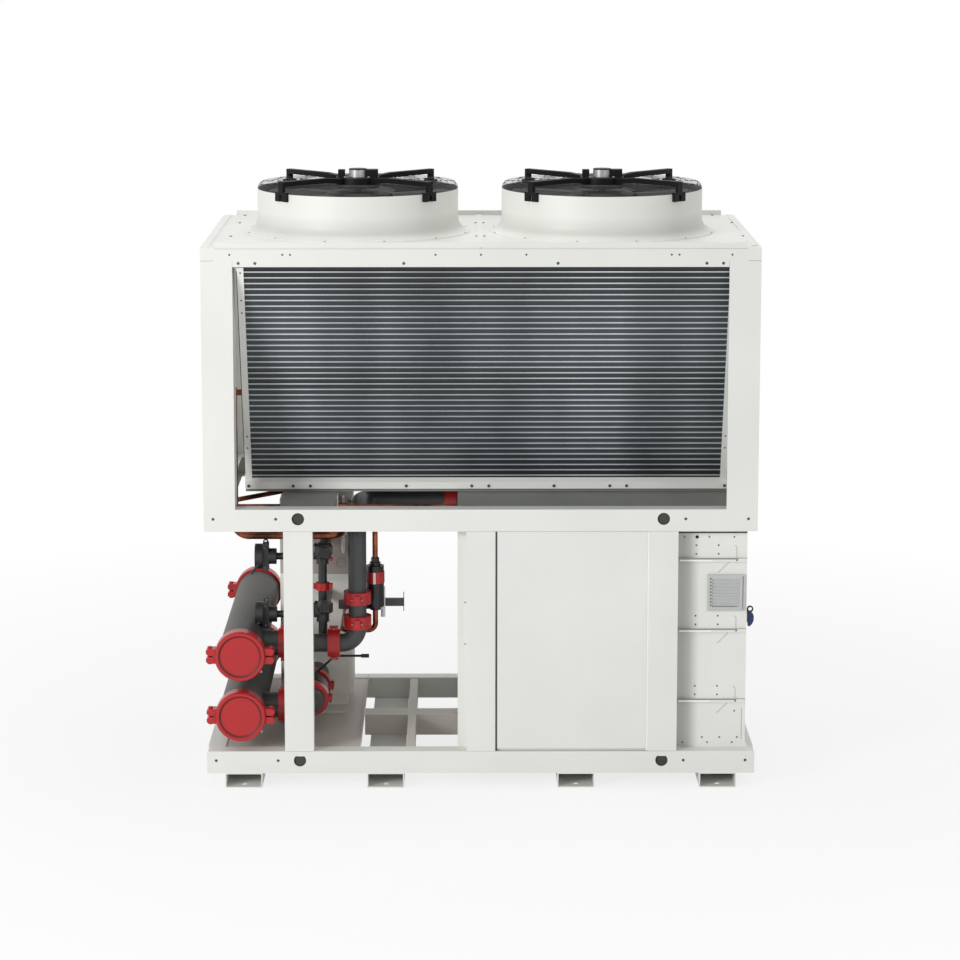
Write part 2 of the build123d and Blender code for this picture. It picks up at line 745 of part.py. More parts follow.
def shutoff_valve():
    """The valve body around the lower branch with the stem that carries the lever."""
    x, y, z = lower_run_x, VALVE_Y, HEADER_ZS[0]
    body = tube((x, y - 45, z), (x, y + 45, z), STUB_R + 10, 10 - FIT)
    neck = rod((x, y, z + STUB_R + 2), (x, y, z + STUB_R + 18), 22)
    return body + neck + rod((x, y, z + STUB_R + 2), (x, y, z + STUB_R + 34), 8)


def valve_lever():
    """The bent hand lever that turns on the valve's stem."""
    x, y, low = lower_run_x, VALVE_Y, HEADER_ZS[0] + STUB_R + 18.4
    hub = rod((x, y, low), (x, y, low + 15), 15) - rod((x, y, low - 1), (x, y, low + 16), 8.3)
    arm = bent([(x + 12, y, low + 8), (x + 88, y, low + 78), (x + 226, y, low + 78)], 5, 12)
    grip_end = rod((x + 196, y, low + 78), (x + 228, y, low + 78), 8)
    return hub + arm + grip_end


def round_valve(z):
    """The black valve left of the post: a round body, a plate with an eye, a hub and its stub."""
    x, y = control_x, CONTROL_Y
    made = rod((x, y, z), (x + 31, y, z), 51) + block(x + 31, x + 55, y - 30, y + 30, z - 54, z + 54)
    made += rod((x + 55, y, z), (x + 86, y, z), 32) + rod((x + 86, y, z), (link_x, y, z), 14)
    made += rod((x + 16, y - 40, z - 26), (x - 14, y - 54, z - 62), 6)
    made += tube((x + 43, y - 4, z + 60), (x + 43, y + 4, z + 60), 11, 5)
    return made


def control_valves():
    """Black valves on two levels, with flanged heads on the link right of the left post."""
    x, y = link_x, CONTROL_Y
    high, low = CONTROL_ZS
    made = round_valve(high) + round_valve(low) + rod((x, y, low - 80), (x, y, high + 10), 18)
    for z in CONTROL_ZS:
        made += prism((x, y, z + 8), (x, y, z + 46), 41, 8) + rod((x, y, z - 30), (x, y, z + 8), 26)
        made += rod((x, y, z), (x, EVAP_FRONT, z), 22)
    return made - header(HEADER_ZS[1], HEADER_R + FIT)


def heat_exchanger():
    """The insulated evaporator on its base, with the ledge across its front."""
    low, high = BASE_TOP - SHEET, EVAP_BOTTOM
    body = block(evap_left, evap_right, EVAP_FRONT, EVAP_BACK, high, EVAP_TOP)
    body = fillet(body.edges().filter_by(Axis.Z), EVAP_CORNER)
    body += block(evap_left + 35, evap_right - 20, EVAP_FRONT + 10, EVAP_BACK - 10, low, high)
    return body + block(evap_left + 35, evap_right - 20, EVAP_FRONT - 98, EVAP_BACK - 10, low, low + 8)


# Refrigerant lines

def filter_drier():
    """The filter drier with its turned-in ends."""
    x, y, low, high = drier_x, DRIER_Y, DRIER_BOTTOM, DRIER_TOP
    return rod((x, y, low + 14), (x, y, high - 14), DRIER_R) + rod((x, y, low), (x, y, high), 22)


def drier_bracket():
    """The strut from the riser, and the clamp band, arm and pin that it carries."""
    x, y, low, top = drier_x, DRIER_Y + DRIER_R + 2.4, DRIER_BOTTOM - 8, DRIER_BOTTOM + BAND_RISE + BAND_HEIGHT
    band = tube((x, DRIER_Y, top - BAND_HEIGHT), (x, DRIER_Y, top), DRIER_R + 2.4, 2.4 - FIT)
    end_x = x + STRUT_HEIGHT - 2
    strut = block(x - STRUT_REACH, end_x, y, y + 30, low, low + STRUT_HEIGHT)
    strut += block(x - 16, x + 16, y - 0.6, y + 5, low + 20, top)
    arm = block(end_x, end_x + BRACKET_ARM, y + 8, y + 23, low + 10, low + 10 + STRUT_HEIGHT)
    pin = rod((end_x, y + 15, low - 35), (end_x, y + 15, low - 35 + PIN_LENGTH), 9)
    return strut + arm + band + pin


def line_plate():
    """The small plate on the channel that holds the liquid line's fitting."""
    z = MID_TOP - LIQUID_DROP
    return block(channel_right, channel_right + SHEET, DRIER_Y - 24, DRIER_Y + 24, z - 18, MID_TOP - 2)


def liquid_line():
    """The line from the heat exchanger's fitting to the closed bay, with the tee down to the drier."""
    x, y, z, left = drier_x, DRIER_Y, MID_TOP - LIQUID_DROP, channel_right + SHEET
    made = rod((left, y, z), (BAY_LEFT, y, z), COPPER_R) + rod((x, y, DRIER_TOP), (x, y, z), COPPER_R)
    made += rod((left, y, z), (left + 42, y, z), 19)
    return made + rod((BAY_LEFT - 65, y, z), (BAY_LEFT - 44, y, z), 16)


def drier_feed():
    """The pipe from the foot of the drier back to the heat exchanger."""
    x, y, z, back_x = drier_x, DRIER_Y, DRIER_BOTTOM - 86, evap_right - 25
    route = [(x, y, DRIER_BOTTOM), (x, y, z), (back_x, y, z), (back_x, EVAP_FRONT, z)]
    return bent(route, COPPER_R, COPPER_BEND)


def suction_line():
    """The pipe that drops beside the coils and runs back to the heat exchanger, with its upper branch."""
    x, y, entry = strip_left - END_SHEET - LEG_GAP, coil_foot_y - 125, coil_foot_z + 371
    z, back_x = SUCTION_Z, evap_right - 25
    route = [(x, y, entry + 20), (x, y, z), (back_x, y, z), (back_x, EVAP_FRONT, z)]
    made = bent(route, SUCTION_R, SUCTION_BEND)
    made += rod((x, y, entry), (strip_left - END_SHEET, y, entry), 12)
    z, down_x, down_y = MID_TOP - HOT_GAS_DROP, evap_left + 135, EVAP_FRONT + 120
    route = [(x, y, z), (down_x, y, z), (down_x, down_y, z), (down_x, down_y, EVAP_TOP)]
    return made + bent(route, HOT_GAS_R, COPPER_BEND)


def slanted_line():
    """The thin pipe from the left side rail that slants back to the top of the heat exchanger."""
    x, y, z = evap_left + 18, EVAP_FRONT + 60, MID_TOP - DRAIN_DROP
    bend_x, bend_y = strip_left - END_SHEET - LEG_GAP, coil_foot_y - 15
    route = [(SHEET - half, bend_y, z), (bend_x, bend_y, z), (x, bend_y + DRAIN_SLANT, z)]
    route += [(x, y, z), (x, y, EVAP_TOP)]
    return bent(route, DRAIN_R, COPPER_BEND)


def copper_lines():
    """Copper pipes between the coils, the heat exchanger, the filter drier and the closed bay."""
    return [liquid_line(), drier_feed(), suction_line(), slanted_line()]


NODES = [base_rails, base_side_rails, feet, floor_pan, base_members,
         mid_rails, mid_side_rails, mid_covers, lower_posts, corner_posts, corner_caps,
         top_rails, top_side_rails, side_cover, deck, deck_trim,
         fan_cowl_left, fan_cowl_right, fan_guards, fan_arms_left, fan_arms_right,
         fan_rotor_left, fan_rotor_right, coils, coil_end_strips, coil_sills, sill_rests, end_panels, vee_tray,
         bay_side, bay_panels, enclosure, enclosure_ledges, vent_grille, handle,
         headers, end_couplings, upper_branch, lower_branch, pipe_grips, shutoff_valve, valve_lever,
         control_valves, heat_exchanger, filter_drier, drier_bracket, line_plate, copper_lines]

os.makedirs("parts", exist_ok=True)
for node in NODES:
    made = node()
    if isinstance(made, list):
        made = Compound(children=made)
    made.label = node.__name__
    export_step(made, f"parts/{node.__name__}.step")
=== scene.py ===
import json
import math
import bpy
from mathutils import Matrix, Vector


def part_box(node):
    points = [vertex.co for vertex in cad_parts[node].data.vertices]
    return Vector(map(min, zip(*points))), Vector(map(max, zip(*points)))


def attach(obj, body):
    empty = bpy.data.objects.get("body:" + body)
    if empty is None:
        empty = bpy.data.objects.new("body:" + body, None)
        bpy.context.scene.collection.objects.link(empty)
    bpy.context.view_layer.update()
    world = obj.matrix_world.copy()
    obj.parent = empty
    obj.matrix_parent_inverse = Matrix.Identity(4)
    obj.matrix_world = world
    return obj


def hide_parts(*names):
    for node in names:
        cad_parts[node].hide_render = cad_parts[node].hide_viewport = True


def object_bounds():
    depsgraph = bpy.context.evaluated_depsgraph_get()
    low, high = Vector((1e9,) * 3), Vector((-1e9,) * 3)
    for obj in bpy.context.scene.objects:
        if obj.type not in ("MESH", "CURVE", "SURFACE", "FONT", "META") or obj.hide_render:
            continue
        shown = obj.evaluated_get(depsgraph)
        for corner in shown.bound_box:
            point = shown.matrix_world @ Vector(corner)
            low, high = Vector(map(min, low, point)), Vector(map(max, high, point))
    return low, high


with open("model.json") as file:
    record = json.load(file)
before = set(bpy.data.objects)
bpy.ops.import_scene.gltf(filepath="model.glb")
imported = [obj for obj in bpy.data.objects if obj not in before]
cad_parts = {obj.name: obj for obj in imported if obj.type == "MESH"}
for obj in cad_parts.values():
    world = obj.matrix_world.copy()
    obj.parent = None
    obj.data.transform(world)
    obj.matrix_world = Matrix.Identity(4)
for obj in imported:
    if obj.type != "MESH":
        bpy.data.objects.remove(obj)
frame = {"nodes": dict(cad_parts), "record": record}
cad_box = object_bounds()
nodes = frame["nodes"]
low_corner, high_corner = (Vector(corner) for corner in cad_box)

MM = 0.001
UP = Vector((0, 0, 1))
FORWARD = Vector((0, -1, 0))
FRONT = low_corner.y
REAR = high_corner.y

# Sizes that the part's source uses too
FAN_XS = (-0.497, 0.497)
COWL_R = 0.4085
POST_WIDTH = 0.115
LEDGE_PITCH = 0.287
COIL_FOOT_Y, COIL_FOOT_Z = 0.235, 1.189
COIL_RISE, COIL_RUN = 0.903, 0.361
COIL_LENGTH = math.hypot(COIL_RISE, COIL_RUN)
TUBE_PITCH = 25.4 * MM

# The single fins are too fine for the solids, so only the coil's finish shows them
FIN_PITCH = 4.2 * MM

# Heights and places at which a finish changes or a painted shade fades, for the recess's painted shade
# and the disc from their node's left edge
HOLLOW_FADE_IN = (2.176, 2.196)
HOLLOW_FADE_OUT = (2.262, 2.206)
RECESS_SHADE_FADE = (0.090, 0.025)
EXCHANGER_LEDGE = 0.719
BAND_LOW = 0.768
BAND_STRIPE_X, BAND_STRIPE_REACH = -0.4285, 0.005
PIN_X, PIN_REACH, PIN_TOP = -0.396, 0.0095, BAND_LOW - 0.006
LOOP_LOW = 0.700
HANDLE_DISC = 0.0055

# Distances from a tube's middle, in shares of a row, at which its line and the groove begin and are full
LINE_FADE = (0.135, 0.085)
GROOVE_FADE = (0.16, 0.34)

# Tones as a screen shows them
PAINT, PAINT_SHADE = (233, 234, 229), (227, 228, 223)
# The hollow, inside and recess tones are painted shade on the frame's paint
HOLLOW_SHADE_TONE = (203, 203, 197)
COWL_INSIDE_SHADE_TONE = (96, 97, 94)
RECESS_SHADE_TONE = (184, 185, 177)
# The coil's lighter tones are painted sheen, and its shaded tone is painted shade
FINS, FINS_LIGHT = (52, 58, 64), (98, 107, 114)
FINS_SHADED = (20, 22, 23)
GROOVE_TONE = (30, 34, 37)
TUBES, TUBES_LIGHT = (140, 146, 148), (212, 217, 218)
COPPER, COPPER_OXIDISED = (172, 98, 66), (78, 40, 30)
HANDLE_NAVY, HANDLE_BLACK = (28, 52, 100), (14, 14, 15)


def spot(node, end, axis):
    """One coordinate of a node's box: end 0 is the lowest corner and 1 the highest."""
    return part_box(node)[end]["xyz".index(axis)]


# Materials

def linear(red, green, blue):
    """A colour written as a screen shows it, as the shader wants it."""
    made = []
    for value in (red, green, blue):
        share = value / 255
        made.append(share / 12.92 if share <= 0.04045 else ((share + 0.055) / 1.055) ** 2.4)
    return (*made, 1)


def new_material(name):
    """A new material, its node tree and its main shader."""
    material = bpy.data.materials.new(name)
    material.use_nodes = True
    tree = material.node_tree
    return material, tree, tree.nodes["Principled BSDF"]


def add_node(tree, kind, **values):
    """A node with some of its settings."""
    made = tree.nodes.new(kind)
    for key, value in values.items():
        setattr(made, key, value)
    return made


def link(tree, start, end):
    """Leads one socket to another."""
    tree.links.new(start, end)


def math_node(tree, operation, first, second=None):
    """A Math node whose inputs are sockets or numbers."""
    made = add_node(tree, "ShaderNodeMath", operation=operation)
    for place, value in enumerate((first, second)):
        if value is None:
            continue
        if isinstance(value, (int, float)):
            made.inputs[place].default_value = value
        else:
            link(tree, value, made.inputs[place])
    return made.outputs[0]


def position(tree):
    """The point's place on the object, as separate coordinates."""
    coords = add_node(tree, "ShaderNodeTexCoord")
    split = add_node(tree, "ShaderNodeSeparateXYZ")
    link(tree, coords.outputs["Object"], split.inputs[0])
    return coords.outputs["Object"], split.outputs


def noise(tree, vector, scale, detail=3.0, roughness=0.5, stretch=None):
    """A noise over the object, stretched along some axes where that is asked for."""
    if stretch:
        mapping = add_node(tree, "ShaderNodeMapping")
        mapping.inputs["Scale"].default_value = stretch
        link(tree, vector, mapping.inputs["Vector"])
        vector = mapping.outputs[0]
    made = add_node(tree, "ShaderNodeTexNoise")
    made.inputs["Scale"].default_value = scale
    made.inputs["Detail"].default_value = detail
    made.inputs["Roughness"].default_value = roughness
    link(tree, vector, made.inputs["Vector"])
    return made.outputs["Fac"]


def mix_colours(tree, factor, first, second):
    """Two colours mixed by a varying factor. A colour is a socket, or a tone as a screen shows it."""
    made = add_node(tree, "ShaderNodeMix", data_type="RGBA")
    link(tree, factor, made.inputs[0])
    for place, value in ((6, first), (7, second)):
        if isinstance(value, tuple):
            made.inputs[place].default_value = linear(*value)
        else:
            link(tree, value, made.inputs[place])
    return made.outputs[2]


def ramp(tree, factor, start, end):
    """A factor stretched so that it runs from 0 to 1 between two values."""
    made = add_node(tree, "ShaderNodeMapRange")
    made.inputs["From Min"].default_value = start
    made.inputs["From Max"].default_value = end
    link(tree, factor, made.inputs["Value"])
    return made.outputs[0]


def near(tree, value, middle, reach):
    """1 where a value lies within a reach of the middle, and 0 elsewhere."""
    away = math_node(tree, "ABSOLUTE", math_node(tree, "SUBTRACT", value, middle))
    return math_node(tree, "LESS_THAN", away, reach)


def add_bump(tree, shader, height, strength, distance):
    """A bump that stands for a texture too fine to be modelled."""
    made = add_node(tree, "ShaderNodeBump")
    made.inputs["Strength"].default_value = strength
    made.inputs["Distance"].default_value = distance
    link(tree, height, made.inputs["Height"])
    link(tree, made.outputs[0], shader.inputs["Normal"])


def drifting(tree, where, colour, shade, scale=2.2):
    """A tone that drifts between two colours over the surface."""
    broad = ramp(tree, noise(tree, where, scale), 0.3, 0.7)
    return mix_colours(tree, broad, colour, shade)


def add_gloss(tree, shader, where, scale, roughness, spread, detail=3.0):
    """A roughness that a fine noise spreads about a middle value. The noise is returned for a bump."""
    fine = noise(tree, where, scale, detail)
    gloss = math_node(tree, "MULTIPLY_ADD", fine, spread)
    gloss.node.inputs[2].default_value = roughness - spread / 2
    link(tree, gloss, shader.inputs["Roughness"])
    return fine


def coat(tree, shader, where, roughness):
    """The gloss and the faint grain of sprayed paint or moulded plastic."""
    fine = add_gloss(tree, shader, where, 260.0, roughness, 0.12, 2.0)
    add_bump(tree, shader, fine, 0.04, 1 * MM)


def coated(name, colour, shade, roughness=0.4, metallic=0.0, specular=0.5):
    """Paint, plastic or metal whose tone and gloss drift a little over the surface."""
    material, tree, shader = new_material(name)
    where, _ = position(tree)
    link(tree, drifting(tree, where, colour, shade), shader.inputs["Base Color"])
    coat(tree, shader, where, roughness)
    shader.inputs["Metallic"].default_value = metallic
    shader.inputs["Specular IOR Level"].default_value = specular
    return material


def inside_cowl(tree, xyz):
    """1 on the inner side of a cowl's wall, where painted shade goes, and 0 elsewhere."""
    across = math_node(tree, "SUBTRACT", math_node(tree, "ABSOLUTE", xyz[0]), FAN_XS[1])
    squares = [math_node(tree, "POWER", value, 2) for value in (across, xyz[1])]
    return math_node(tree, "LESS_THAN", math_node(tree, "ADD", *squares), (COWL_R - 0.002) ** 2)


def cowl_material():
    """Frame paint with painted shade: a little greyer in the hollow of the cowl's foot and dark inside
    the cowl.
    """
    material, tree, shader = new_material("cowl_paint")
    where, xyz = position(tree)
    fades = [ramp(tree, xyz[2], *fade) for fade in (HOLLOW_FADE_IN, HOLLOW_FADE_OUT)]
    # Painted shade in the hollow of the cowl's foot, and darker painted shade on the cowl's inner wall
    hollow = math_node(tree, "MULTIPLY", math_node(tree, "MULTIPLY", *fades), 0.8)
    outside = mix_colours(tree, hollow, drifting(tree, where, PAINT, PAINT_SHADE), HOLLOW_SHADE_TONE)
    tone = mix_colours(tree, inside_cowl(tree, xyz), outside, COWL_INSIDE_SHADE_TONE)
    link(tree, tone, shader.inputs["Base Color"])
    coat(tree, shader, where, 0.46)
    return material


def enclosure_material():
    """Frame paint with painted shade, greyer in the recess beside the right-hand posts."""
    material, tree, shader = new_material("enclosure_paint")
    where, xyz = position(tree)
    left = spot("enclosure", 0, "x")
    # Painted shade that fades out from the enclosure's left edge
    recess = ramp(tree, xyz[0], *(left + reach for reach in RECESS_SHADE_FADE))
    tone = mix_colours(tree, recess, drifting(tree, where, PAINT, PAINT_SHADE), RECESS_SHADE_TONE)
    link(tree, tone, shader.inputs["Base Color"])
    coat(tree, shader, where, 0.42)
    return material


def coil_slope(tree, xyz):
    """How far up the coil's face a point lies, on either side of the vee."""
    out = math_node(tree, "SUBTRACT", math_node(tree, "ABSOLUTE", xyz[1]), COIL_FOOT_Y)
    up = math_node(tree, "SUBTRACT", xyz[2], COIL_FOOT_Z)
    out_part = math_node(tree, "MULTIPLY", out, COIL_RUN / COIL_LENGTH)
    up_part = math_node(tree, "MULTIPLY", up, COIL_RISE / COIL_LENGTH)
    return math_node(tree, "ADD", out_part, up_part)


def coil_sheen_zones(tree, where):
    """Painted sheen in soft upright zones of light and dark, with clouds in them."""
    zone = noise(tree, where, 1.0, 1.0, 0.4, (3.4, 0.1, 0.1))
    cloud = noise(tree, where, 4.0, 4.0, 0.6)
    zone_part = math_node(tree, "MULTIPLY", ramp(tree, zone, 0.36, 0.64), 0.65)
    cloud_part = math_node(tree, "MULTIPLY", ramp(tree, cloud, 0.3, 0.7), 0.35)
    return math_node(tree, "ADD", zone_part, cloud_part)


def coil_shade(tree, slope):
    """How dark the painted shade on the coil is along its top, its foot and a band across its middle."""
    high = ramp(tree, slope, COIL_LENGTH - 0.22, COIL_LENGTH - 0.02)
    low = ramp(tree, slope, 0.14, 0.0)
    band_at = COIL_LENGTH * 0.47
    from_middle = math_node(tree, "ABSOLUTE", math_node(tree, "SUBTRACT", slope, band_at))
    middle = math_node(tree, "MULTIPLY", ramp(tree, from_middle, 0.10, 0.02), 0.6)
    darkest = math_node(tree, "MAXIMUM", math_node(tree, "MAXIMUM", high, low), middle)
    return math_node(tree, "MULTIPLY", darkest, 0.85)


def coil_material():
    """Dark fins with a bright line along every row of tubes, soft upright zones of painted sheen, and
    painted shade.
    """
    material, tree, shader = new_material("coil_fins")
    where, xyz = position(tree)
    slope = coil_slope(tree, xyz)
    row = math_node(tree, "FRACT", math_node(tree, "DIVIDE", slope, TUBE_PITCH))
    from_tube = math_node(tree, "ABSOLUTE", math_node(tree, "SUBTRACT", row, 0.5))
    line = ramp(tree, from_tube, *LINE_FADE)
    groove = math_node(tree, "MULTIPLY", ramp(tree, from_tube, *GROOVE_FADE), 0.6)
    # Painted sheen in upright zones, which stands for the fins' moiré
    tone = coil_sheen_zones(tree, where)
    fins = mix_colours(tree, tone, FINS, FINS_LIGHT)
    fins = mix_colours(tree, coil_shade(tree, slope), fins, FINS_SHADED)
    fins = mix_colours(tree, groove, fins, GROOVE_TONE)
    tubes = mix_colours(tree, tone, TUBES, TUBES_LIGHT)
    link(tree, mix_colours(tree, line, fins, tubes), shader.inputs["Base Color"])
    shader.inputs["Roughness"].default_value = 0.5
    shader.inputs["Metallic"].default_value = 0.15
    turn = math_node(tree, "MULTIPLY", xyz[0], 2 * math.pi / FIN_PITCH)
    plates = ramp(tree, math_node(tree, "SINE", turn), -1.0, 1.0)
    add_bump(tree, shader, plates, 0.15, 1 * MM)
    return material


def copper_material():
    """Copper with darker oxidised stretches."""
    material, tree, shader = new_material("copper")
    where, _ = position(tree)
    patches = ramp(tree, noise(tree, where, 9.0, 4.0, 0.6), 0.4, 0.62)
    link(tree, mix_colours(tree, patches, COPPER, COPPER_OXIDISED), shader.inputs["Base Color"])
    fine = add_gloss(tree, shader, where, 180.0, 0.32, 0.2)
    shader.inputs["Metallic"].default_value = 0.85
    add_bump(tree, shader, fine, 0.05, 1 * MM)
    return material


def handle_material():
    """Navy grip with a black loop above it and a black disc behind."""
    material, tree, shader = new_material("handle_plastic")
    where, xyz = position(tree)
    loop = math_node(tree, "GREATER_THAN", xyz[2], LOOP_LOW)
    disc = math_node(tree, "LESS_THAN", xyz[0], spot("handle", 0, "x") + HANDLE_DISC)
    black = math_node(tree, "MAXIMUM", loop, disc)
    link(tree, mix_colours(tree, black, HANDLE_NAVY, HANDLE_BLACK), shader.inputs["Base Color"])
    add_gloss(tree, shader, where, 90.0, 0.31, 0.1)
    return material


def exchanger_material():
    """Light grey skin with painted shade above its ledge, where it turns to a darker, warmer grey."""
    material, tree, shader = new_material("exchanger_skin")
    where, xyz = position(tree)
    lower = drifting(tree, where, (230, 228, 222), (218, 216, 210), 3.0)
    # Painted shade on the skin above the ledge
    upper = drifting(tree, where, (178, 169, 163), (162, 153, 147), 3.0)
    above = math_node(tree, "GREATER_THAN", xyz[2], EXCHANGER_LEDGE)
    link(tree, mix_colours(tree, above, lower, upper), shader.inputs["Base Color"])
    fine = add_gloss(tree, shader, where, 150.0, 0.55, 0.1)
    add_bump(tree, shader, fine, 0.08, 1 * MM)
    return material


def bracket_material():
    """Dark grey bracket whose clamp band is red, with a bright stripe and a bright pin."""
    material, tree, shader = new_material("bracket_dark")
    where, xyz = position(tree)
    band = math_node(tree, "GREATER_THAN", xyz[2], BAND_LOW)
    stripe = math_node(tree, "MULTIPLY", near(tree, xyz[0], BAND_STRIPE_X, BAND_STRIPE_REACH), band)
    below = math_node(tree, "LESS_THAN", xyz[2], PIN_TOP)
    pin = math_node(tree, "MULTIPLY", near(tree, xyz[0], PIN_X, PIN_REACH), below)
    drift = noise(tree, where, 20.0)
    dark = mix_colours(tree, drift, (66, 66, 67), (52, 52, 53))
    red = mix_colours(tree, drift, (188, 36, 42), (166, 28, 34))
    bright = mix_colours(tree, drift, (244, 245, 245), (232, 233, 233))
    shiny = math_node(tree, "MAXIMUM", pin, stripe)
    tone = mix_colours(tree, shiny, mix_colours(tree, band, dark, red), bright)
    link(tree, tone, shader.inputs["Base Color"])
    add_gloss(tree, shader, where, 150.0, 0.38, 0.12)
    return material


def frame_finishes():
    """Finishes of the frame, the fans, the coils and the enclosure."""
    return {
        "frame_paint": coated("frame_paint", PAINT, PAINT_SHADE, 0.42),
        "cowl_paint": cowl_material(),
        "enclosure_paint": enclosure_material(),
        # The inner sheets' and the base's greys are painted shade on the same paint as the frame
        "inner_sheet": coated("inner_sheet", (140, 141, 137), (126, 127, 123), 0.5),
        "base_grey": coated("base_grey", (212, 206, 198), (200, 194, 186), 0.5),
        "guard_wire": coated("guard_wire", (60, 61, 61), (44, 45, 45), 0.45),
        "fan_black": coated("fan_black", (13, 13, 14), (9, 9, 10), 0.5, specular=0.2),
        "rotor_black": coated("rotor_black", (18, 19, 20), (12, 13, 14), 0.45, specular=0.3),
        "coil_fins": coil_material(),
        "vent_plastic": coated("vent_plastic", (196, 198, 197), (186, 188, 187), 0.5),
        "handle_plastic": handle_material(),
    }


def pipe_finishes():
    """Finishes of the water side and the refrigerant side."""
    return {
        "exchanger_skin": exchanger_material(),
        "header_grey": coated("header_grey", (92, 91, 89), (82, 81, 79), 0.5, specular=0.2),
        "coupling_red": coated("coupling_red", (186, 34, 37), (168, 27, 32), 0.32),
        # A darker red as painted shade on the caps' sloped rims
        "coupling_red_painted_shade": coated("coupling_red_painted_shade", (116, 18, 22), (98, 14, 18), 0.5),
        "pipe_dark": coated("pipe_dark", (66, 69, 69), (56, 59, 59), 0.4),
        "valve_black": coated("valve_black", (42, 43, 43), (33, 34, 34), 0.42),
        "lever_black": coated("lever_black", (30, 30, 31), (24, 24, 25), 0.35),
        "drier_black": coated("drier_black", (28, 28, 29), (22, 22, 23), 0.3),
        "bracket_dark": bracket_material(),
        "copper": copper_material(),
    }


def trim_finishes():
    """Finishes of the screws, seams and other small pieces that only this script adds, among them painted
    highlights and painted shade.
    """
    return {
        # A painted highlight on lit edges, lips and the left of the ledges
        "edge_light": coated("edge_light", (250, 250, 246), (246, 246, 241), 0.4),
        "ledge_shadow": coated("ledge_shadow", (150, 150, 143), (142, 142, 135), 0.5),
        "bolt_zinc": coated("bolt_zinc", (150, 152, 152), (120, 122, 122), 0.35, 0.6),
        # Dark rivets and bolts, and painted shade in small holes, slots and gaps
        "rivet_dark": coated("rivet_dark", (88, 90, 90), (70, 72, 72), 0.45, 0.3),
        "motor_silver": coated("motor_silver", (196, 198, 200), (178, 180, 182), 0.3, 0.4),
        "shadow_gap": coated("shadow_gap", (22, 23, 24), (16, 17, 18), 0.8),
        "plug_white": coated("plug_white", (225, 226, 224), (214, 215, 213), 0.45),
        # Painted shade inside the lifting holes and in the gap along the enclosure's top
        "hole_inside": coated("hole_inside", (66, 66, 62), (52, 52, 48), 0.7),
        "inner_light": coated("inner_light", (226, 225, 221), (216, 215, 211), 0.5),
        "seam_grey": coated("seam_grey", (168, 168, 162), (156, 156, 150), 0.6),
        "brass": coated("brass", (196, 152, 82), (168, 124, 62), 0.3, 0.8),
    }


MATERIALS = {**frame_finishes(), **pipe_finishes(), **trim_finishes()}
SPECIAL_FINISHES = {"fan_cowl_left": "cowl_paint", "fan_cowl_right": "cowl_paint",
                    "enclosure": "enclosure_paint", "enclosure_ledges": "enclosure_paint"}


def paint_nodes():
    """Gives each CAD node the material of its slot, or its own finish of that slot."""
    for entry in frame["record"]["subparts"]:
        mesh = nodes[entry["node"]].data
        finish = SPECIAL_FINISHES.get(entry["node"], entry["material_slot"])
        mesh.materials.clear()
        mesh.materials.append(MATERIALS[finish])


paint_nodes()


# Small pieces

def add_piece(name, points, faces, material, body="frame", smooth=False):
    """A mesh piece in the object's own frame that rides on a body."""
    mesh = bpy.data.meshes.new(name)
    mesh.from_pydata([tuple(point) for point in points], [], faces)
    mesh.validate()
    if smooth:
        mesh.shade_smooth()
    piece = bpy.data.objects.new(name, mesh)
    bpy.context.scene.collection.objects.link(piece)
    mesh.materials.append(MATERIALS[material])
    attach(piece, body)
    return piece


def turned(axis):
    """A rotation that takes +Z to the axis."""
    return UP.rotation_difference(Vector(axis)).to_matrix()


def studs(name, places, axis, radius, height, material, sides=12, crown=0.6):
    """Round or six-sided heads that stand on a surface, their tops a little smaller."""
    points, faces = [], []
    turn = turned(axis)
    for place in places:
        start = len(points)
        for level, share in ((0, 1.0), (height * crown, 1.0), (height, 0.7)):
            for side in range(sides):
                angle = 2 * math.pi * side / sides
                flat = Vector((radius * share * math.cos(angle), radius * share * math.sin(angle), level))
                points.append(Vector(place) + turn @ flat)
        for ring in range(2):
            for side in range(sides):
                here, after = start + ring * sides + side, start + ring * sides + (side + 1) % sides
                faces.append((here, after, after + sides, here + sides))
        faces.append(tuple(start + 2 * sides + side for side in range(sides)))
        faces.append(tuple(start + side for side in reversed(range(sides))))
    return add_piece(name, points, faces, material)


def slabs(name, boxes, material):
    """Boxes given by their lowest and highest corners."""
    points, faces = [], []
    for low, high in boxes:
        start = len(points)
        for x in (low[0], high[0]):
            for y in (low[1], high[1]):
                for z in (low[2], high[2]):
                    points.append((x, y, z))
        for face in ((0, 1, 3, 2), (4, 6, 7, 5), (0, 4, 5, 1), (2, 3, 7, 6), (0, 2, 6, 4), (1, 5, 7, 3)):
            faces.append(tuple(start + corner for corner in face))
    return add_piece(name, points, faces, material)


def hoops(name, rings, axis, wire, material, sides=96, section=8):
    """Round wire rings, each given by its centre and radius."""
    points, faces = [], []
    turn = turned(axis)
    for centre, radius in rings:
        start = len(points)
        for step in range(sides):
            angle = 2 * math.pi * step / sides
            for corner in range(section):
                lean = 2 * math.pi * corner / section
                reach = radius + wire * math.cos(lean)
                flat = Vector((reach * math.cos(angle), reach * math.sin(angle), wire * math.sin(lean)))
                points.append(Vector(centre) + turn @ flat)
        for step in range(sides):
            for corner in range(section):
                here = start + step * section + corner
                over = start + step * section + (corner + 1) % section
                after = start + (step + 1) % sides * section + corner
                across = start + (step + 1) % sides * section + (corner + 1) % section
                faces.append((here, after, across, over))
    return add_piece(name, points, faces, material, smooth=True)


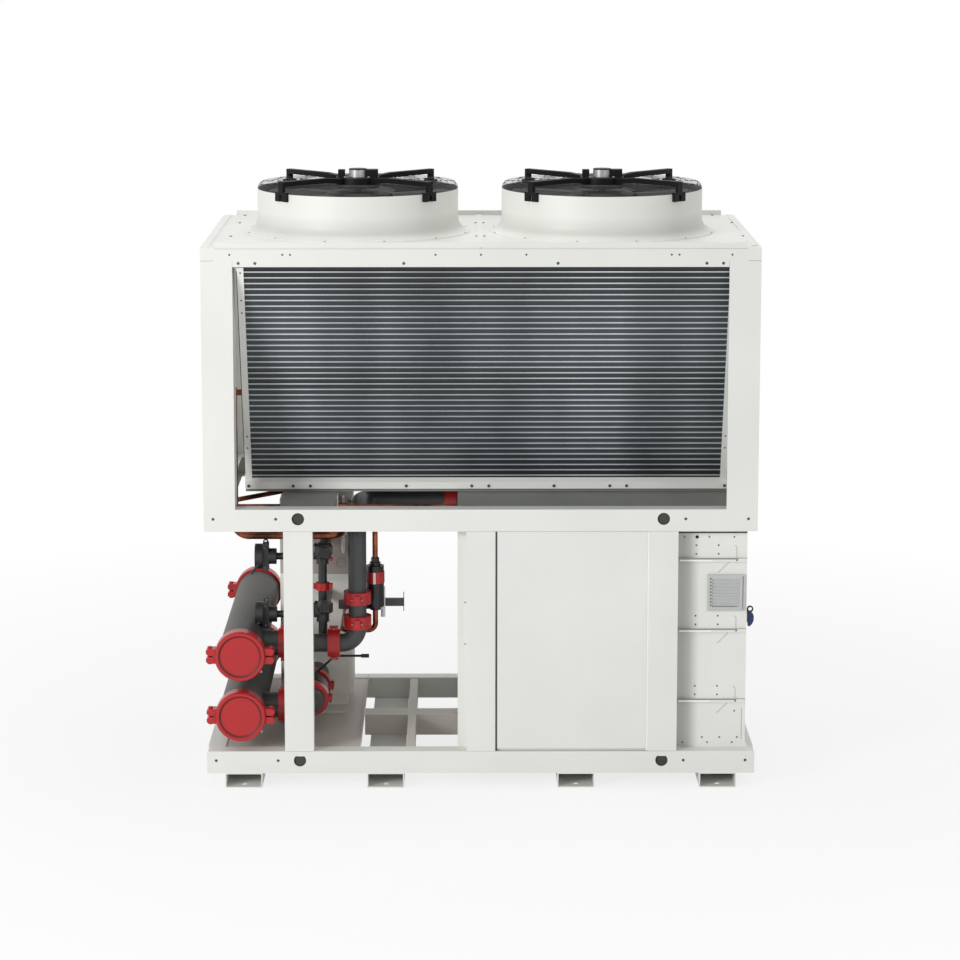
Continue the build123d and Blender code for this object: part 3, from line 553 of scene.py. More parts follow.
def bar_between(points, faces, start, end, radius, sides=8):
    """Adds a round bar to a mesh that is being built."""
    way = Vector(end) - Vector(start)
    turn = turned(way.normalized())
    first = len(points)
    for place in (Vector(start), Vector(end)):
        for side in range(sides):
            angle = 2 * math.pi * side / sides
            points.append(place + turn @ Vector((radius * math.cos(angle), radius * math.sin(angle), 0)))
    for side in range(sides):
        after = (side + 1) % sides
        faces.append((first + side, first + after, first + sides + after, first + sides + side))
    faces.append(tuple(first + side for side in reversed(range(sides))))
    faces.append(tuple(first + sides + side for side in range(sides)))


def bars(name, pairs, radius, material, sides=8):
    """Straight round bars, each given by its two ends."""
    points, faces = [], []
    for start, end in pairs:
        bar_between(points, faces, start, end, radius, sides)
    return add_piece(name, points, faces, material)


def both_sides(places):
    """The places and their mirror images about the middle plane from front to rear."""
    return [*places, *((-x, y, z) for x, y, z in places)]


def even_angles(count):
    """Angles of evenly spread places, of which none lies on the X axis."""
    return [2 * math.pi * (step + 0.5) / count for step in range(count)]


def circle_of(centre, radius, angles):
    """Places on a level circle."""
    x, y, z = centre
    return [(x + radius * math.cos(angle), y + radius * math.sin(angle), z) for angle in angles]


# Fans. The size of a round head is its radius and its height.

RIM_Z = spot("fan_cowl_left", 1, "z")
GUARD_INNER_R, GUARD_OUTER_R = 0.106, COWL_R - 0.012
GUARD_SEAT_R, GUARD_SEAT = COWL_R - 0.002, 0.002
GUARD_TOP, GUARD_DIP = 0.0215, 0.005
GUARD_RINGS, GUARD_RIM_RINGS, GUARD_SPOKES = 10, 4, 16
GUARD_WIRE, SPOKE_WIRE = 0.8 * MM, 1.1 * MM
SPOKE_DROP = 0.0015
ARM_BEND_R = 0.185
CAP_R, CAP_HEIGHT = 0.0365, 0.033
CAP_SCREW_SIZE, CAP_SCREWS_R, CAP_SCREW_ANGLES = (0.006, 0.005), 0.070, (0.9, 2.36, 3.93, 5.4)
FOOT_SCREW_SIZE, FOOT_SCREWS_R, FOOT_SCREW_COUNT = (0.005, 0.003), 0.452, 12
FOOT_FLANGE = 0.003


def guard_height(radius):
    """Height of the guard's top, which dips a little under the arms near the motor."""
    return RIM_Z + GUARD_TOP - GUARD_DIP * max(0, 1 - radius / ARM_BEND_R) * 2


def guard_rings(x):
    """Centres and radii of one guard's rings: first the low upright rim and then the flat top."""
    rings = []
    for ring in range(GUARD_RIM_RINGS):
        share = ring / GUARD_RIM_RINGS
        z = RIM_Z + GUARD_SEAT + share * (GUARD_TOP - GUARD_SEAT)
        rings.append(((x, 0, z), GUARD_SEAT_R - 0.010 * share ** 2))
    for ring in range(GUARD_RINGS):
        radius = GUARD_OUTER_R - ring * (GUARD_OUTER_R - GUARD_INNER_R) / (GUARD_RINGS - 1)
        rings.append(((x, 0, guard_height(radius)), radius))
    return rings


def spoke_line():
    """Radii and heights along one spoke, from the cowl's rim to the innermost ring."""
    rise = [(COWL_R - 0.003, RIM_Z), (COWL_R - 0.004, RIM_Z + 0.013)]
    return rise + [(radius, guard_height(radius) - SPOKE_DROP)
                   for radius in (GUARD_OUTER_R, ARM_BEND_R, GUARD_INNER_R)]


def fan_guards():
    """Round wire rings on spokes: a low upright rim and a flat top under the arms."""
    points, faces, rings = [], [], []
    for x in FAN_XS:
        rings += guard_rings(x)
        for angle in even_angles(GUARD_SPOKES):
            way = Vector((math.cos(angle), math.sin(angle), 0))
            corners = [way * radius + Vector((x, 0, z)) for radius, z in spoke_line()]
            for start, end in zip(corners, corners[1:]):
                bar_between(points, faces, start, end, SPOKE_WIRE)
    guard = hoops("fan_guard_rings", rings, UP, GUARD_WIRE, "guard_wire")
    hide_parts("fan_guards")
    add_piece("fan_guard_spokes", points, faces, "guard_wire")


def motor_caps():
    """The bright motor top with its screws, and the small black box beside it."""
    top = spot("fan_arms_left", 1, "z")
    base = top - CAP_HEIGHT
    for side, x in zip(("left", "right"), FAN_XS):
        studs("motor_top_" + side, [(x, 0, base)], UP, CAP_R, CAP_HEIGHT - 0.0002, "motor_silver",
              sides=48, crown=0.88)
        screws = circle_of((x, 0, base), CAP_SCREWS_R, CAP_SCREW_ANGLES)
        studs("motor_screws_" + side, screws, UP, *CAP_SCREW_SIZE, "bolt_zinc", sides=6)
        box = ((x - 0.080, -0.020, base), (x - 0.052, 0.020, top - 0.004))
        slabs("motor_box_" + side, [box], "fan_black")


def cowl_bolts():
    """Screws around the flared foot of each cowl."""
    places = []
    for x in FAN_XS:
        foot = (x, 0, spot("deck", 1, "z") + FOOT_FLANGE)
        places += circle_of(foot, FOOT_SCREWS_R, even_angles(FOOT_SCREW_COUNT))
    studs("cowl_foot_screws", places, UP, *FOOT_SCREW_SIZE, "bolt_zinc", sides=8)


fan_guards()
motor_caps()
cowl_bolts()


# Frame fasteners and seams

DECK_Z = spot("deck", 1, "z")
DECK_SCREW_SIZE, DECK_SCREW_YS = (0.0055, 0.003), (-0.215, 0.289)
DECK_SIDE_XS = (-1.001, 1.055)
DECK_CORNER_XS, DECK_CORNER_Y = (-1.001, 0.999), 0.59
DECK_SEAM_XS = (-0.0155, 0.0155)
DECK_STRIP_X, DECK_STRIP_YS = 1.070, (-0.560, 0.600)
FASCIA_LOW = spot("top_side_rails", 0, "z")
FASCIA_SEAM_XS, DECK_SEAM_END = (1.042, 1.091), 1.037
RIVET_SIZE, RIVET_Z, RIVET_XS = (0.0042, 0.0002), 2.142, (0.978, 0.772, 0.742, 0.1766)
STRIP_BOLT_SIZE, STRIP_BOLT_Z, STRIP_BOLT_XS = (0.0066, 0.0002), 2.1085, (0.9437, 0.879, 0.300)
SILL_BOLT_SIZE, SILL_BOLT_Z = (0.0068, 0.005), 1.158
SILL_BOLT_XS = (-0.938, -0.758, -0.688, -0.300, -0.0345, 0.0345, 0.299, 0.525, 0.593, 0.990)
SILL_PLATES, SILL_PLATE_ZS = ((-0.778, -0.664), (-0.059, 0.044), (0.506, 0.612)), (1.1475, 1.1718)
END_STRIP_BOLT_SIZE = (0.0036, 0.0015)
END_STRIP_XS, END_STRIP_BOLTS = (-0.938, 0.986), (0.145, 0.200, 0.771, 0.827, 0.950)
SEAL_R, SEAL_XS, SEAL_ENDS = 0.0016, (-0.9525, 1.0005), (0.02, 0.955)
RAIL_HOLE_ZS = (1.094, 0.112)
BOLT_HOLE_XS, BOLT_INSIDE_SIZE = (0.808, 1.055), (0.0068, 0.0005)
LIFT_HOLE_X, LIFT_INSIDE_SIZE = 0.721, (0.030, 0.0005)
LIP_HALF_WIDTH, LIP_ABOVE = 0.026, (0.0165, 0.027)
SLOPE_UP = Vector((0, -COIL_RUN, COIL_RISE)).normalized()
SLOPE_OUT = Vector((0, -COIL_RISE, -COIL_RUN)).normalized()


def mirrored(place):
    """The point's mirror image at the rear."""
    return Vector((place[0], -place[1], place[2]))


def on_coil(x, along, out):
    """A point over the front coil's face, by its distance up the slope and out from the fins."""
    foot = Vector((x, -COIL_FOOT_Y, COIL_FOOT_Z))
    return foot + SLOPE_UP * along + SLOPE_OUT * out


def layer(y, way, near_side, far_side):
    """The lowest and highest Y of a thin layer, given how far both its sides stand out from a face."""
    return sorted((y + way * near_side, y + way * far_side))


def deck_screws():
    """Screws along the deck's sides, at its corners and beside its seam, and the raised side strips."""
    places = [(x, y) for x in DECK_SIDE_XS for y in DECK_SCREW_YS]
    places += [(x, y) for x in DECK_CORNER_XS for y in (-DECK_CORNER_Y, DECK_CORNER_Y)]
    places += [(x, y) for x in DECK_SEAM_XS for y in DECK_SCREW_YS]
    places = [(x, y, DECK_Z) for x, y in places]
    studs("deck_screws", places, UP, *DECK_SCREW_SIZE, "rivet_dark", sides=10)
    front, rear = DECK_STRIP_YS
    strips = [((x - 0.010, front, DECK_Z), (x + 0.010, rear, DECK_Z + 0.003))
              for x in (-DECK_STRIP_X, DECK_STRIP_X)]
    slabs("deck_side_strips", strips, "frame_paint")


def top_frame_fasteners(name, y, way):
    """Rivets, bolts and seams on one long side of the top frame."""
    out = (0, way, 0)
    rivets = both_sides([(x, y, RIVET_Z) for x in RIVET_XS]) + [(0, y, RIVET_Z)]
    studs("top_rivets_" + name, rivets, out, *RIVET_SIZE, "rivet_dark", sides=10)
    bolts = both_sides([(x, y, STRIP_BOLT_Z) for x in STRIP_BOLT_XS])
    studs("strip_bolts_" + name, bolts, out, *STRIP_BOLT_SIZE, "rivet_dark", sides=6)
    low_y, high_y = layer(y, way, -0.002, 0.0002)
    inner, outer = FASCIA_SEAM_XS
    seams = [((x0, low_y, FASCIA_LOW - 0.001), (x1, high_y, FASCIA_LOW + 0.001))
             for x0, x1 in ((-outer, -inner), (inner, outer))]
    seams.append(((-DECK_SEAM_END, low_y, DECK_Z - 0.0055), (DECK_SEAM_END, high_y, DECK_Z - 0.0040)))
    slabs("top_seams_" + name, seams, "seam_grey")


def coil_frame_fasteners(name, way):
    """Bolts and plates on one coil's sill, bolts on its end strips and the dark seals beside them."""
    sill_y = spot("coil_sills", 0, "y")
    place = mirrored if way > 0 else Vector
    bolts = [place((x, sill_y, SILL_BOLT_Z)) for x in SILL_BOLT_XS]
    studs("sill_bolts_" + name, bolts, (0, way, 0), *SILL_BOLT_SIZE, "rivet_dark", sides=6)
    plates = []
    for x0, x1 in SILL_PLATES:
        ends = [place((x0, sill_y - 0.0015, SILL_PLATE_ZS[0])), place((x1, sill_y, SILL_PLATE_ZS[1]))]
        plates.append((tuple(map(min, *ends)), tuple(map(max, *ends))))
    slabs("sill_plates_" + name, plates, "frame_paint")
    small = [place(on_coil(x, along, 0.006)) for x in END_STRIP_XS for along in END_STRIP_BOLTS]
    studs("end_strip_bolts_" + name, small, place(SLOPE_OUT), *END_STRIP_BOLT_SIZE, "rivet_dark", sides=8)
    seals = [[place(on_coil(x, along, 0.003)) for along in SEAL_ENDS] for x in SEAL_XS]
    bars("strip_seals_" + name, seals, SEAL_R, "shadow_gap")


def rail_holes(name, y, way):
    """Painted shade as dark insides behind the long rails' holes, and a painted highlight on the lip in
    each lower lifting hole.
    """
    out = (0, way, 0)
    small = both_sides([(x, y - way * 0.0035, z) for x in BOLT_HOLE_XS for z in RAIL_HOLE_ZS])
    studs("bolt_hole_insides_" + name, small, out, *BOLT_INSIDE_SIZE, "rivet_dark", sides=16)
    large = both_sides([(LIFT_HOLE_X, y - way * 0.0085, z) for z in RAIL_HOLE_ZS])
    studs("lift_hole_insides_" + name, large, out, *LIFT_INSIDE_SIZE, "hole_inside", sides=32)
    # A painted highlight on the lip inside each lower lifting hole
    low_y, high_y = layer(y, way, -0.0065, -0.0045)
    low_z, high_z = (RAIL_HOLE_ZS[1] + rise for rise in LIP_ABOVE)
    lips = [((x - LIP_HALF_WIDTH, low_y, low_z), (x + LIP_HALF_WIDTH, high_y, high_z))
            for x in (-LIFT_HOLE_X, LIFT_HOLE_X)]
    slabs("lift_hole_lips_" + name, lips, "edge_light")


def panel_gaps(name, y, way):
    """Painted shade in the gap left of the lift-off panel, and a painted highlight on the edge right of
    it.
    """
    low_y, high_y = layer(y, way, -0.010, -0.006)
    left, right = spot("bay_panels", 0, "x"), spot("bay_panels", 1, "x")
    low_z, high_z = spot("bay_panels", 0, "z") + 0.0005, spot("bay_panels", 1, "z") - 0.0005
    for part, x0, x1, finish in (("panel_gap_", left + 0.0002, left + 0.0078, "rivet_dark"),
                                 ("panel_edge_", right - 0.0078, right - 0.0002, "edge_light")):
        slabs(part + name, [((x0, low_y, low_z), (x1, high_y, high_z))], finish)


def post_seams(name, y, way):
    """Fine seams where the lower posts and the closed bay meet the rails."""
    low_y, high_y = layer(y, way, -0.0015, 0.0002)
    left, right = spot("lower_posts", 0, "x"), spot("lower_posts", 1, "x")
    seams = [((x0, low_y, z - 0.0006), (x1, high_y, z + 0.0006))
             for z in (spot("mid_rails", 0, "z"), spot("base_rails", 1, "z"))
             for x0, x1 in ((left, left + POST_WIDTH), (-POST_WIDTH / 2, right))]
    slabs("post_seams_" + name, seams, "seam_grey")


def long_sides():
    """The same fasteners, holes, gaps and seams at the front and at the rear."""
    for name, y, way in (("front", FRONT, -1), ("rear", REAR, 1)):
        top_frame_fasteners(name, y, way)
        coil_frame_fasteners(name, way)
        rail_holes(name, y, way)
        panel_gaps(name, y, way)
        post_seams(name, y, way)


deck_screws()
long_sides()


# Enclosure

BOX_FACE = spot("enclosure", 0, "y")
BOX_LEFT, BOX_RIGHT = spot("enclosure", 0, "x"), spot("enclosure", 1, "x")
BOX_RIVET_SIZE = (0.0036, 0.0012)
BOX_HOLE_XS, TOP_HOLES_Z, FOOT_HOLES_Z = (0.808, 0.907, 1.006), 1.0087, 0.169
LOW_HOLE_XS, LOW_HOLES_Z = (0.886, 0.956, 1.026), 0.190
LONE_HOLE = (1.014, 0.2985)
PANEL_HOLE_XS, PANEL_HOLE_ZS = (0.8555, 0.944), (0.9752, 0.9401)
PANEL_SLITS = (((0.943, 0.864), (0.988, 0.908)),
               ((1.0165, 0.926), (1.0165, 0.966)),
               ((1.0165, 0.966), (1.009, 0.975)))
FOOT_SLIT = ((1.0434, 0.182), (1.0434, 0.312))
SLIT_R = 0.0011
GROMMET_X, GROMMET_SIZE = 0.858, (0.0066, 0.003)
TOP_GAP_ZS = (1.0240, 1.0300)
LEDGE_COUNT = 3
LEDGE_THIN_END = 0.034
LEDGE_SCREW_X, LEDGE_SCREW_SIZE = 1.0165, (0.0034, 0.001)
TRIM_PROUD, TRIM_SUNK = 0.3 * MM, 1 * MM
VENT_FACE = spot("vent_grille", 0, "y")
VENT_LOW = spot("vent_grille", 0, "z")
VENT_SLOT_XS, VENT_SLOT_ZS = (0.9115, 0.9165), (0.020, 0.0265)
VENT_SLOT_COUNT, VENT_SLOT_PITCH = 9, 0.0134


def on_box(places):
    """Places on the enclosure's face, each given by its X and Z."""
    return [(x, BOX_FACE, z) for x, z in places]


def enclosure_details():
    """Small holes, slits and rivets on the front of the enclosure, repeated over its ledges, and painted
    shade in the gap along its top.
    """
    holes = [(x, TOP_HOLES_Z) for x in BOX_HOLE_XS]
    slits = []
    for step in range(LEDGE_COUNT):
        drop = step * LEDGE_PITCH
        holes += [(x, z - drop) for x in PANEL_HOLE_XS for z in PANEL_HOLE_ZS]
        slits += [[(x, z - drop) for x, z in slit] for slit in PANEL_SLITS]
    holes += [(x, FOOT_HOLES_Z) for x in BOX_HOLE_XS]
    holes += [*((x, LOW_HOLES_Z) for x in LOW_HOLE_XS), LONE_HOLE]
    studs("enclosure_rivets", on_box(holes), FORWARD, *BOX_RIVET_SIZE, "rivet_dark", sides=10)
    grommet = on_box([(GROMMET_X, TOP_HOLES_Z)])
    studs("enclosure_grommet", grommet, FORWARD, *GROMMET_SIZE, "shadow_gap", sides=16)
    slits = [on_box(slit) for slit in (*slits, FOOT_SLIT)]
    bars("enclosure_slits", slits, SLIT_R, "seam_grey", sides=6)
    # Painted shade in the gap along the enclosure's top
    top_gap = ((BOX_LEFT + 0.001, BOX_FACE - 0.0008, TOP_GAP_ZS[0]),
               (BOX_RIGHT - 0.014, BOX_FACE + 0.002, TOP_GAP_ZS[1]))
    slabs("enclosure_top_gap", [top_gap], "hole_inside")


def ledge_details():
    """Painted shade along the upper edge of each folded ledge, a painted highlight on its left part, and
    its screw.
    """
    face, top = spot("enclosure_ledges", 0, "y"), spot("enclosure_ledges", 1, "z")
    left, right = spot("enclosure_ledges", 0, "x"), spot("enclosure_ledges", 1, "x")
    out, within, thin = face - TRIM_PROUD, face + TRIM_SUNK, right - LEDGE_THIN_END
    shades, lights, screws = [], [], []
    for step in range(LEDGE_COUNT):
        z = top - step * LEDGE_PITCH
        shades.append(((left + 0.001, out, z - 0.006), (thin, within, z + 0.0002)))
        shades.append(((thin, out, z - 0.002), (right, within, z + 0.0002)))
        lights.append(((left + 0.003, out, z - 0.0125), (left + 0.130, within, z - 0.0068)))
        screws.append((LEDGE_SCREW_X, face, z - 0.009))
    slabs("ledge_shades", shades, "ledge_shadow")
    slabs("ledge_lights", lights, "edge_light")
    studs("ledge_screws", screws, FORWARD, *LEDGE_SCREW_SIZE, "rivet_dark", sides=8)


def vent_details():
    """The vent's column of dark slots, and painted shade along its foot and right edge."""
    out, within = VENT_FACE - TRIM_PROUD, VENT_FACE + TRIM_SUNK
    (x0, x1), (z0, z1) = VENT_SLOT_XS, VENT_SLOT_ZS
    slots = []
    for row in range(VENT_SLOT_COUNT):
        rise = VENT_LOW + row * VENT_SLOT_PITCH
        slots.append(((x0, out, rise + z0), (x1, within, rise + z1)))
    slots.append(((0.9195, out, VENT_LOW + 0.0165), (1.020, within, VENT_LOW + 0.0182)))
    slots.append(((1.0405, out, VENT_LOW + 0.006), (1.0435, within, VENT_LOW + 0.141)))
    slabs("vent_slots", slots, "rivet_dark")


enclosure_details()
ledge_details()
vent_details()


# Pipework details

HEADER_X = -0.957
HEADER_ZS = (0.290, 0.536)
PLUG_Y, PLUG_REACH = -0.532, 0.089
PLUG_SIZE, PLUG_TIP_SIZE = (0.0085, 0.020), (0.0055, 0.007)
BEVEL_OUTER, BEVEL_INNER, BEVEL_DEPTH = 0.0859, 0.0775, 0.0078
RISER_X, RUN_X = -0.496, -0.684
BRANCH_X, BRANCH_Y, LOWER_BRANCH_Y = -0.790, -0.375, -0.417
RUN_YS = (-0.310, -0.110)
GRIP_NUT_SIZE, GRIP_BOLT_SIZE = (0.0075, 0.007), (0.0038, 0.012)
GRIP_BOLT_OUT, GRIP_PAD_HALF = 0.005, 0.011
EXCHANGER_FACE = spot("heat_exchanger", 0, "y") + 0.098
EXCHANGER_XS, EXCHANGER_LEDGE_FOOT = (-0.819, -0.551), 0.694
RING_CENTRE, RING_R, RING_WIRE = (-0.580, EXCHANGER_FACE - 0.0005, 0.767), 0.018, 0.0015
CAPSULE, CAPSULE_SIZE = (-0.570, EXCHANGER_FACE - 0.007, 0.845), (0.009, 0.036)
DRIER_Y = -0.305
LINE_Z = 1.081
LINE_NUT, LINE_NUT_SIZE = (-0.530, DRIER_Y, LINE_Z), (0.0165, 0.026)
LINE_CAP, LINE_CAP_SIZE = (-0.553, DRIER_Y, LINE_Z + 0.018), (0.010, 0.030)
DRIER_NUT, DRIER_NUT_SIZE = (-0.426, DRIER_Y, 0.8545), (0.0165, 0.022)
TAB_Y, TAB_TOP = DRIER_Y + 0.0359, 0.717
KNOB, KNOB_SIZE = (-0.603, -0.352, 0.879), (0.009, 0.014)
VALVE_X, VALVE_Y, VALVE_HEAD_ZS = -0.639, -0.310, (0.926, 0.686)
HEAD_BOLT_SIZE, HEAD_BOLTS_R, HEAD_BOLT_COUNT = (0.0045, 0.006), 0.032, 8
BONNET_X, BONNET_Y, BONNET_ZS = -0.630, -0.349, (0.904, 0.680)
BONNET_SIZE = (0.030, 0.020)
BONNET_BOLT_SIZE, BONNET_BOLTS_R, BONNET_BOLT_ANGLES = (0.005, 0.0215), 0.022, (0.8, 2.4, 3.9, 5.5)
VALVE_PLATE_X, VALVE_PLATE_Y, VALVE_PLATE_ZS = -0.868, -0.340, (0.880, 0.640)
PLATE_BOLT_SIZE, PLATE_BOLT_REACH = (0.006, 0.006), 0.040
BAY_HOLE_X, BAY_HOLE_ZS, BAY_HOLE_SIZE = -0.062, (0.572, 0.741), (0.003, 0.0006)


def bevel_ring(y, z, way, sides=64):
    """Points and faces of one sloped ring in a cap's rim, closed behind by a thin step."""
    profile = ((BEVEL_OUTER, 0.0012), (BEVEL_INNER, BEVEL_DEPTH),
               (BEVEL_INNER, BEVEL_DEPTH + 0.0004), (BEVEL_OUTER, BEVEL_DEPTH + 0.0004))
    points, faces = [], []
    for radius, depth in profile:
        for side in range(sides):
            angle = 2 * math.pi * side / sides
            across, rise = radius * math.cos(angle), radius * math.sin(angle)
            points.append((HEADER_X + across, y + way * depth, z + rise))
    for ring in range(len(profile)):
        here, after = ring * sides, (ring + 1) % len(profile) * sides
        for side in range(sides):
            beside = (side + 1) % sides
            corners = (here + side, here + beside, after + beside, after + side)
            faces.append(corners if way > 0 else corners[::-1])
    return points, faces


def ring_bevels():
    """The sloped inner edge of each red cap's rim, in a darker red as painted shade."""
    points, faces = [], []
    for y, way in ((FRONT, 1), (REAR, -1)):
        for z in HEADER_ZS:
            ring_points, ring_faces = bevel_ring(y, z, way)
            faces += [tuple(len(points) + corner for corner in face) for face in ring_faces]
            points += ring_points
    add_piece("cap_rim_bevels", points, faces, "coupling_red_painted_shade")


def header_plugs():
    """The small drain plugs under the front couplings."""
    way = Vector((0.7071, 0, -0.7071))
    starts = [Vector((HEADER_X, PLUG_Y, z)) + way * PLUG_REACH for z in HEADER_ZS]
    studs("header_plugs", starts, way, *PLUG_SIZE, "valve_black", sides=12)
    tips = [start + way * (PLUG_SIZE[1] - 0.0005) for start in starts]
    studs("header_plug_tips", tips, way, *PLUG_TIP_SIZE, "plug_white", sides=12)


def pipe_grips():
    """Middle, pad direction, pipe direction and pad distance of each red pipe coupling."""
    right, back = Vector((1, 0, 0)), Vector((0, 1, 0))
    low, high = HEADER_ZS
    return [((BRANCH_X, BRANCH_Y, high), UP, right, 0.060),
            ((RISER_X - 0.096, BRANCH_Y, high), UP, right, 0.056),
            ((RISER_X, BRANCH_Y, 0.625), back, UP, 0.056),
            ((RISER_X, BRANCH_Y, 0.725), back, UP, 0.056),
            ((BRANCH_X, LOWER_BRANCH_Y, low), UP, right, 0.064),
            *(((RUN_X, y, low), right, back, 0.068) for y in RUN_YS)]


def grip_bolts():
    """The nuts on the pads of the red pipe couplings, with a bolt's end in each."""
    for number, (middle, pads, way, radius) in enumerate(pipe_grips()):
        across = way.cross(pads)
        for side, name in ((1, "a"), (-1, "b")):
            out = across * side
            reach = pads * (radius + GRIP_BOLT_OUT)
            places = [Vector(middle) + reach * end + out * GRIP_PAD_HALF for end in (-1, 1)]
            studs(f"grip_nuts_{number}{name}", places, out, *GRIP_NUT_SIZE, "coupling_red", sides=6)
            studs(f"grip_bolt_ends_{number}{name}", places, out, *GRIP_BOLT_SIZE, "bolt_zinc", sides=10)


def exchanger_details():
    """The ledge, the raised ring and the small capsule on the front of the heat exchanger."""
    left, right = EXCHANGER_XS
    ledge = ((left, EXCHANGER_FACE - 0.008, EXCHANGER_LEDGE_FOOT),
             (right, EXCHANGER_FACE + 0.001, EXCHANGER_LEDGE))
    slabs("exchanger_ledge", [ledge], "inner_light")
    hoops("exchanger_ring", [(RING_CENTRE, RING_R)], (0, 1, 0), RING_WIRE, "exchanger_skin", sides=48)
    for part, way in (("top", UP), ("foot", -UP)):
        studs("exchanger_capsule_" + part, [CAPSULE], way, *CAPSULE_SIZE, "plug_white", sides=20)


def line_fittings():
    """The nut and the valve cap on the liquid line, the drier's top nut and its bracket's tab."""
    studs("line_nut", [LINE_NUT], (1, 0, 0), *LINE_NUT_SIZE, "brass", sides=6, crown=0.9)
    studs("line_valve_cap", [LINE_CAP], UP, *LINE_CAP_SIZE, "bolt_zinc", sides=6, crown=0.8)
    studs("drier_top_nut", [DRIER_NUT], UP, *DRIER_NUT_SIZE, "valve_black", sides=6, crown=0.8)
    tab_x, tab_foot = spot("drier_bracket", 1, "x"), spot("drier_bracket", 0, "z") + 0.025
    tab = ((tab_x - 0.003, TAB_Y + 0.008, tab_foot), (tab_x - 0.0002, TAB_Y + 0.023, TAB_TOP))
    slabs("bracket_tab", [tab], "bracket_dark")


def valve_details():
    """The red knob, the round bonnets and the bolts of the small black control valves."""
    studs("valve_knob", [KNOB], FORWARD, *KNOB_SIZE, "coupling_red", sides=16)
    heads = []
    for z in VALVE_HEAD_ZS:
        heads += circle_of((VALVE_X, VALVE_Y, z), HEAD_BOLTS_R, even_angles(HEAD_BOLT_COUNT))
    studs("valve_head_bolts", heads, UP, *HEAD_BOLT_SIZE, "valve_black", sides=6)
    bonnets = [(BONNET_X, BONNET_Y, z) for z in BONNET_ZS]
    studs("valve_bonnets", bonnets, FORWARD, *BONNET_SIZE, "valve_black", sides=32, crown=0.7)
    lugs = [(BONNET_X + BONNET_BOLTS_R * math.cos(angle), BONNET_Y, z + BONNET_BOLTS_R * math.sin(angle))
            for z in BONNET_ZS for angle in BONNET_BOLT_ANGLES]
    studs("valve_bonnet_bolts", lugs, FORWARD, *BONNET_BOLT_SIZE, "rivet_dark", sides=6)
    plates = [(VALVE_PLATE_X, VALVE_PLATE_Y, z + rise)
              for z in VALVE_PLATE_ZS for rise in (-PLATE_BOLT_REACH, PLATE_BOLT_REACH)]
    studs("valve_plate_bolts", plates, FORWARD, *PLATE_BOLT_SIZE, "rivet_dark", sides=6)


def bay_side_holes():
    """Two small holes in the front flange of the closed bay's side."""
    places = [(BAY_HOLE_X, spot("bay_side", 0, "y"), z) for z in BAY_HOLE_ZS]
    studs("bay_side_holes", places, FORWARD, *BAY_HOLE_SIZE, "rivet_dark", sides=10)


ring_bevels()
header_plugs()
grip_bolts()
exchanger_details()
line_fittings()
valve_details()
bay_side_holes()


# Stage, lights and camera

FLOOR_TONE, FLOOR_SHADE = (240, 240, 240), (238, 238, 238)
FLOOR_GLOW = 0.80
GLOW_RISE = (2.0, 4.5)
FLOOR_REACH = 60
WHITE = (1, 1, 1, 1)
WORLD_TONE, WORLD_STRENGTH = (1.0, 1.0, 0.995, 1), 0.46
CAMERA_PLACE = (-0.0844, -12.2812, 3.5186)
CAMERA_DIP, CAMERA_TURN = 0.1538, -0.0048
CAMERA_SHIFT = (0.0066, -0.12)
LENS_MM, SENSOR_MM = 113.31, 36


def shown_directly(tree):
    """1 for the rays that show the stage itself: to the camera, in a reflection or through glass."""
    paths = add_node(tree, "ShaderNodeLightPath")
    shown = math_node(tree, "MAXIMUM", paths.outputs["Is Camera Ray"], paths.outputs["Is Glossy Ray"])
    return math_node(tree, "MAXIMUM", shown, paths.outputs["Is Transmission Ray"])


def mix_shaders(tree, factor, first, second, output):
    """Two shaders mixed by a varying factor and led to the material's or the world's output."""
    mixed = add_node(tree, "ShaderNodeMixShader")
    for place, value in enumerate((factor, first, second)):
        link(tree, value, mixed.inputs[place])
    link(tree, mixed.outputs[0], tree.nodes[output].inputs["Surface"])


def floor_material():
    """White that the camera sees as bright, and brighter far off, without more light on the object."""
    material, tree, shader = new_material("floor_white")
    where, _ = position(tree)
    soft = mix_colours(tree, noise(tree, where, 0.6), FLOOR_TONE, FLOOR_SHADE)
    link(tree, soft, shader.inputs["Base Color"])
    shader.inputs["Roughness"].default_value = 0.9
    white = add_node(tree, "ShaderNodeEmission")
    white.inputs["Color"].default_value = WHITE
    white.inputs["Strength"].default_value = 1.0
    distance = add_node(tree, "ShaderNodeVectorMath", operation="LENGTH")
    link(tree, where, distance.inputs[0])
    far = ramp(tree, distance.outputs["Value"], *GLOW_RISE)
    glow = math_node(tree, "MULTIPLY_ADD", far, 1 - FLOOR_GLOW)
    glow.node.inputs[2].default_value = FLOOR_GLOW
    share = math_node(tree, "MULTIPLY", shown_directly(tree), glow)
    mix_shaders(tree, share, shader.outputs[0], white.outputs[0], "Material Output")
    return material


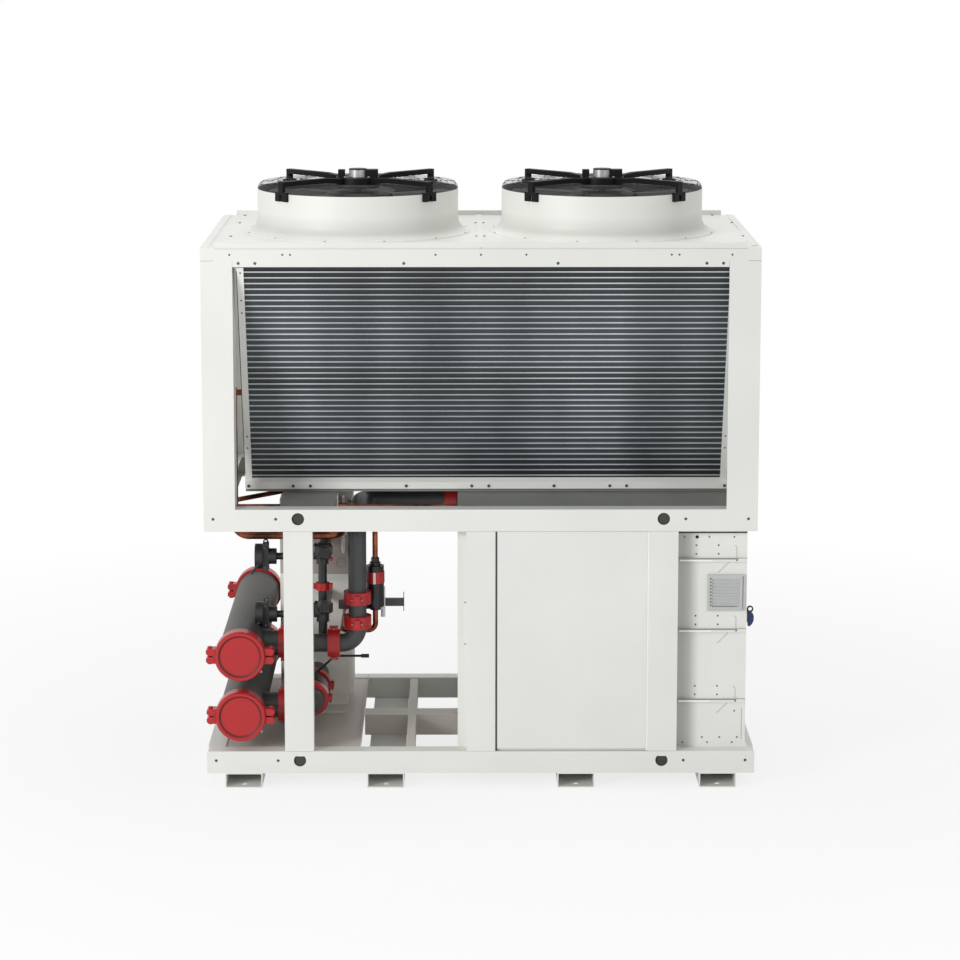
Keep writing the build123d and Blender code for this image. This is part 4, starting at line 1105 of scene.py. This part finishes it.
def make_floor():
    """A large floor just under the feet."""
    mesh = bpy.data.meshes.new("floor")
    corners = [(x * FLOOR_REACH, y * FLOOR_REACH, 0) for x, y in ((-1, -1), (1, -1), (1, 1), (-1, 1))]
    mesh.from_pydata(corners, [], [(0, 1, 2, 3)])
    floor = bpy.data.objects.new("floor", mesh)
    floor.location = (0, 0, -0.0005)
    mesh.materials.append(floor_material())
    bpy.context.scene.collection.objects.link(floor)


def make_world():
    """Soft light from all round, behind which the camera sees plain white."""
    world = bpy.data.worlds.new("world")
    bpy.context.scene.world = world
    world.use_nodes = True
    tree = world.node_tree
    light = tree.nodes["Background"]
    light.inputs["Color"].default_value = WORLD_TONE
    light.inputs["Strength"].default_value = WORLD_STRENGTH
    white = add_node(tree, "ShaderNodeBackground")
    white.inputs["Color"].default_value = WHITE
    white.inputs["Strength"].default_value = 1.0
    mix_shaders(tree, shown_directly(tree), light.outputs[0], white.outputs[0], "World Output")


def add_lamp(name, place, target, size, power):
    """A rectangular lamp that faces its target."""
    data = bpy.data.lights.new(name, "AREA")
    data.shape = "RECTANGLE"
    data.size, data.size_y = size
    data.energy = power
    lamp = bpy.data.objects.new(name, data)
    lamp.location = place
    lamp.rotation_euler = (Vector(target) - Vector(place)).to_track_quat("-Z", "Y").to_euler()
    bpy.context.scene.collection.objects.link(lamp)


def make_lights():
    """A strong key lamp at the front left, a weak fill at the front right and a wide lamp above."""
    add_lamp("key", (-7.2, -7.8, 3.8), (0, 0, 1.3), (3, 3), 530)
    add_lamp("fill", (6.5, -7.0, 3.0), (0, 0, 1.2), (5, 4), 70)
    add_lamp("top", (0, 0.5, 8.0), (0, 0, 2.0), (4, 3), 165)


def make_camera():
    """A camera at the photograph's place, tilted down a little so that its shift stays small."""
    data = bpy.data.cameras.new("camera")
    data.lens = LENS_MM
    data.sensor_width = SENSOR_MM
    data.shift_x, data.shift_y = CAMERA_SHIFT
    data.clip_end = 200
    camera = bpy.data.objects.new("camera", data)
    camera.location = CAMERA_PLACE
    camera.rotation_euler = (math.pi / 2 - CAMERA_DIP, 0, CAMERA_TURN)
    bpy.context.scene.collection.objects.link(camera)
    bpy.context.scene.camera = camera


make_floor()
make_world()
make_lights()
make_camera()
bpy.context.scene.view_settings.view_transform = "Standard"
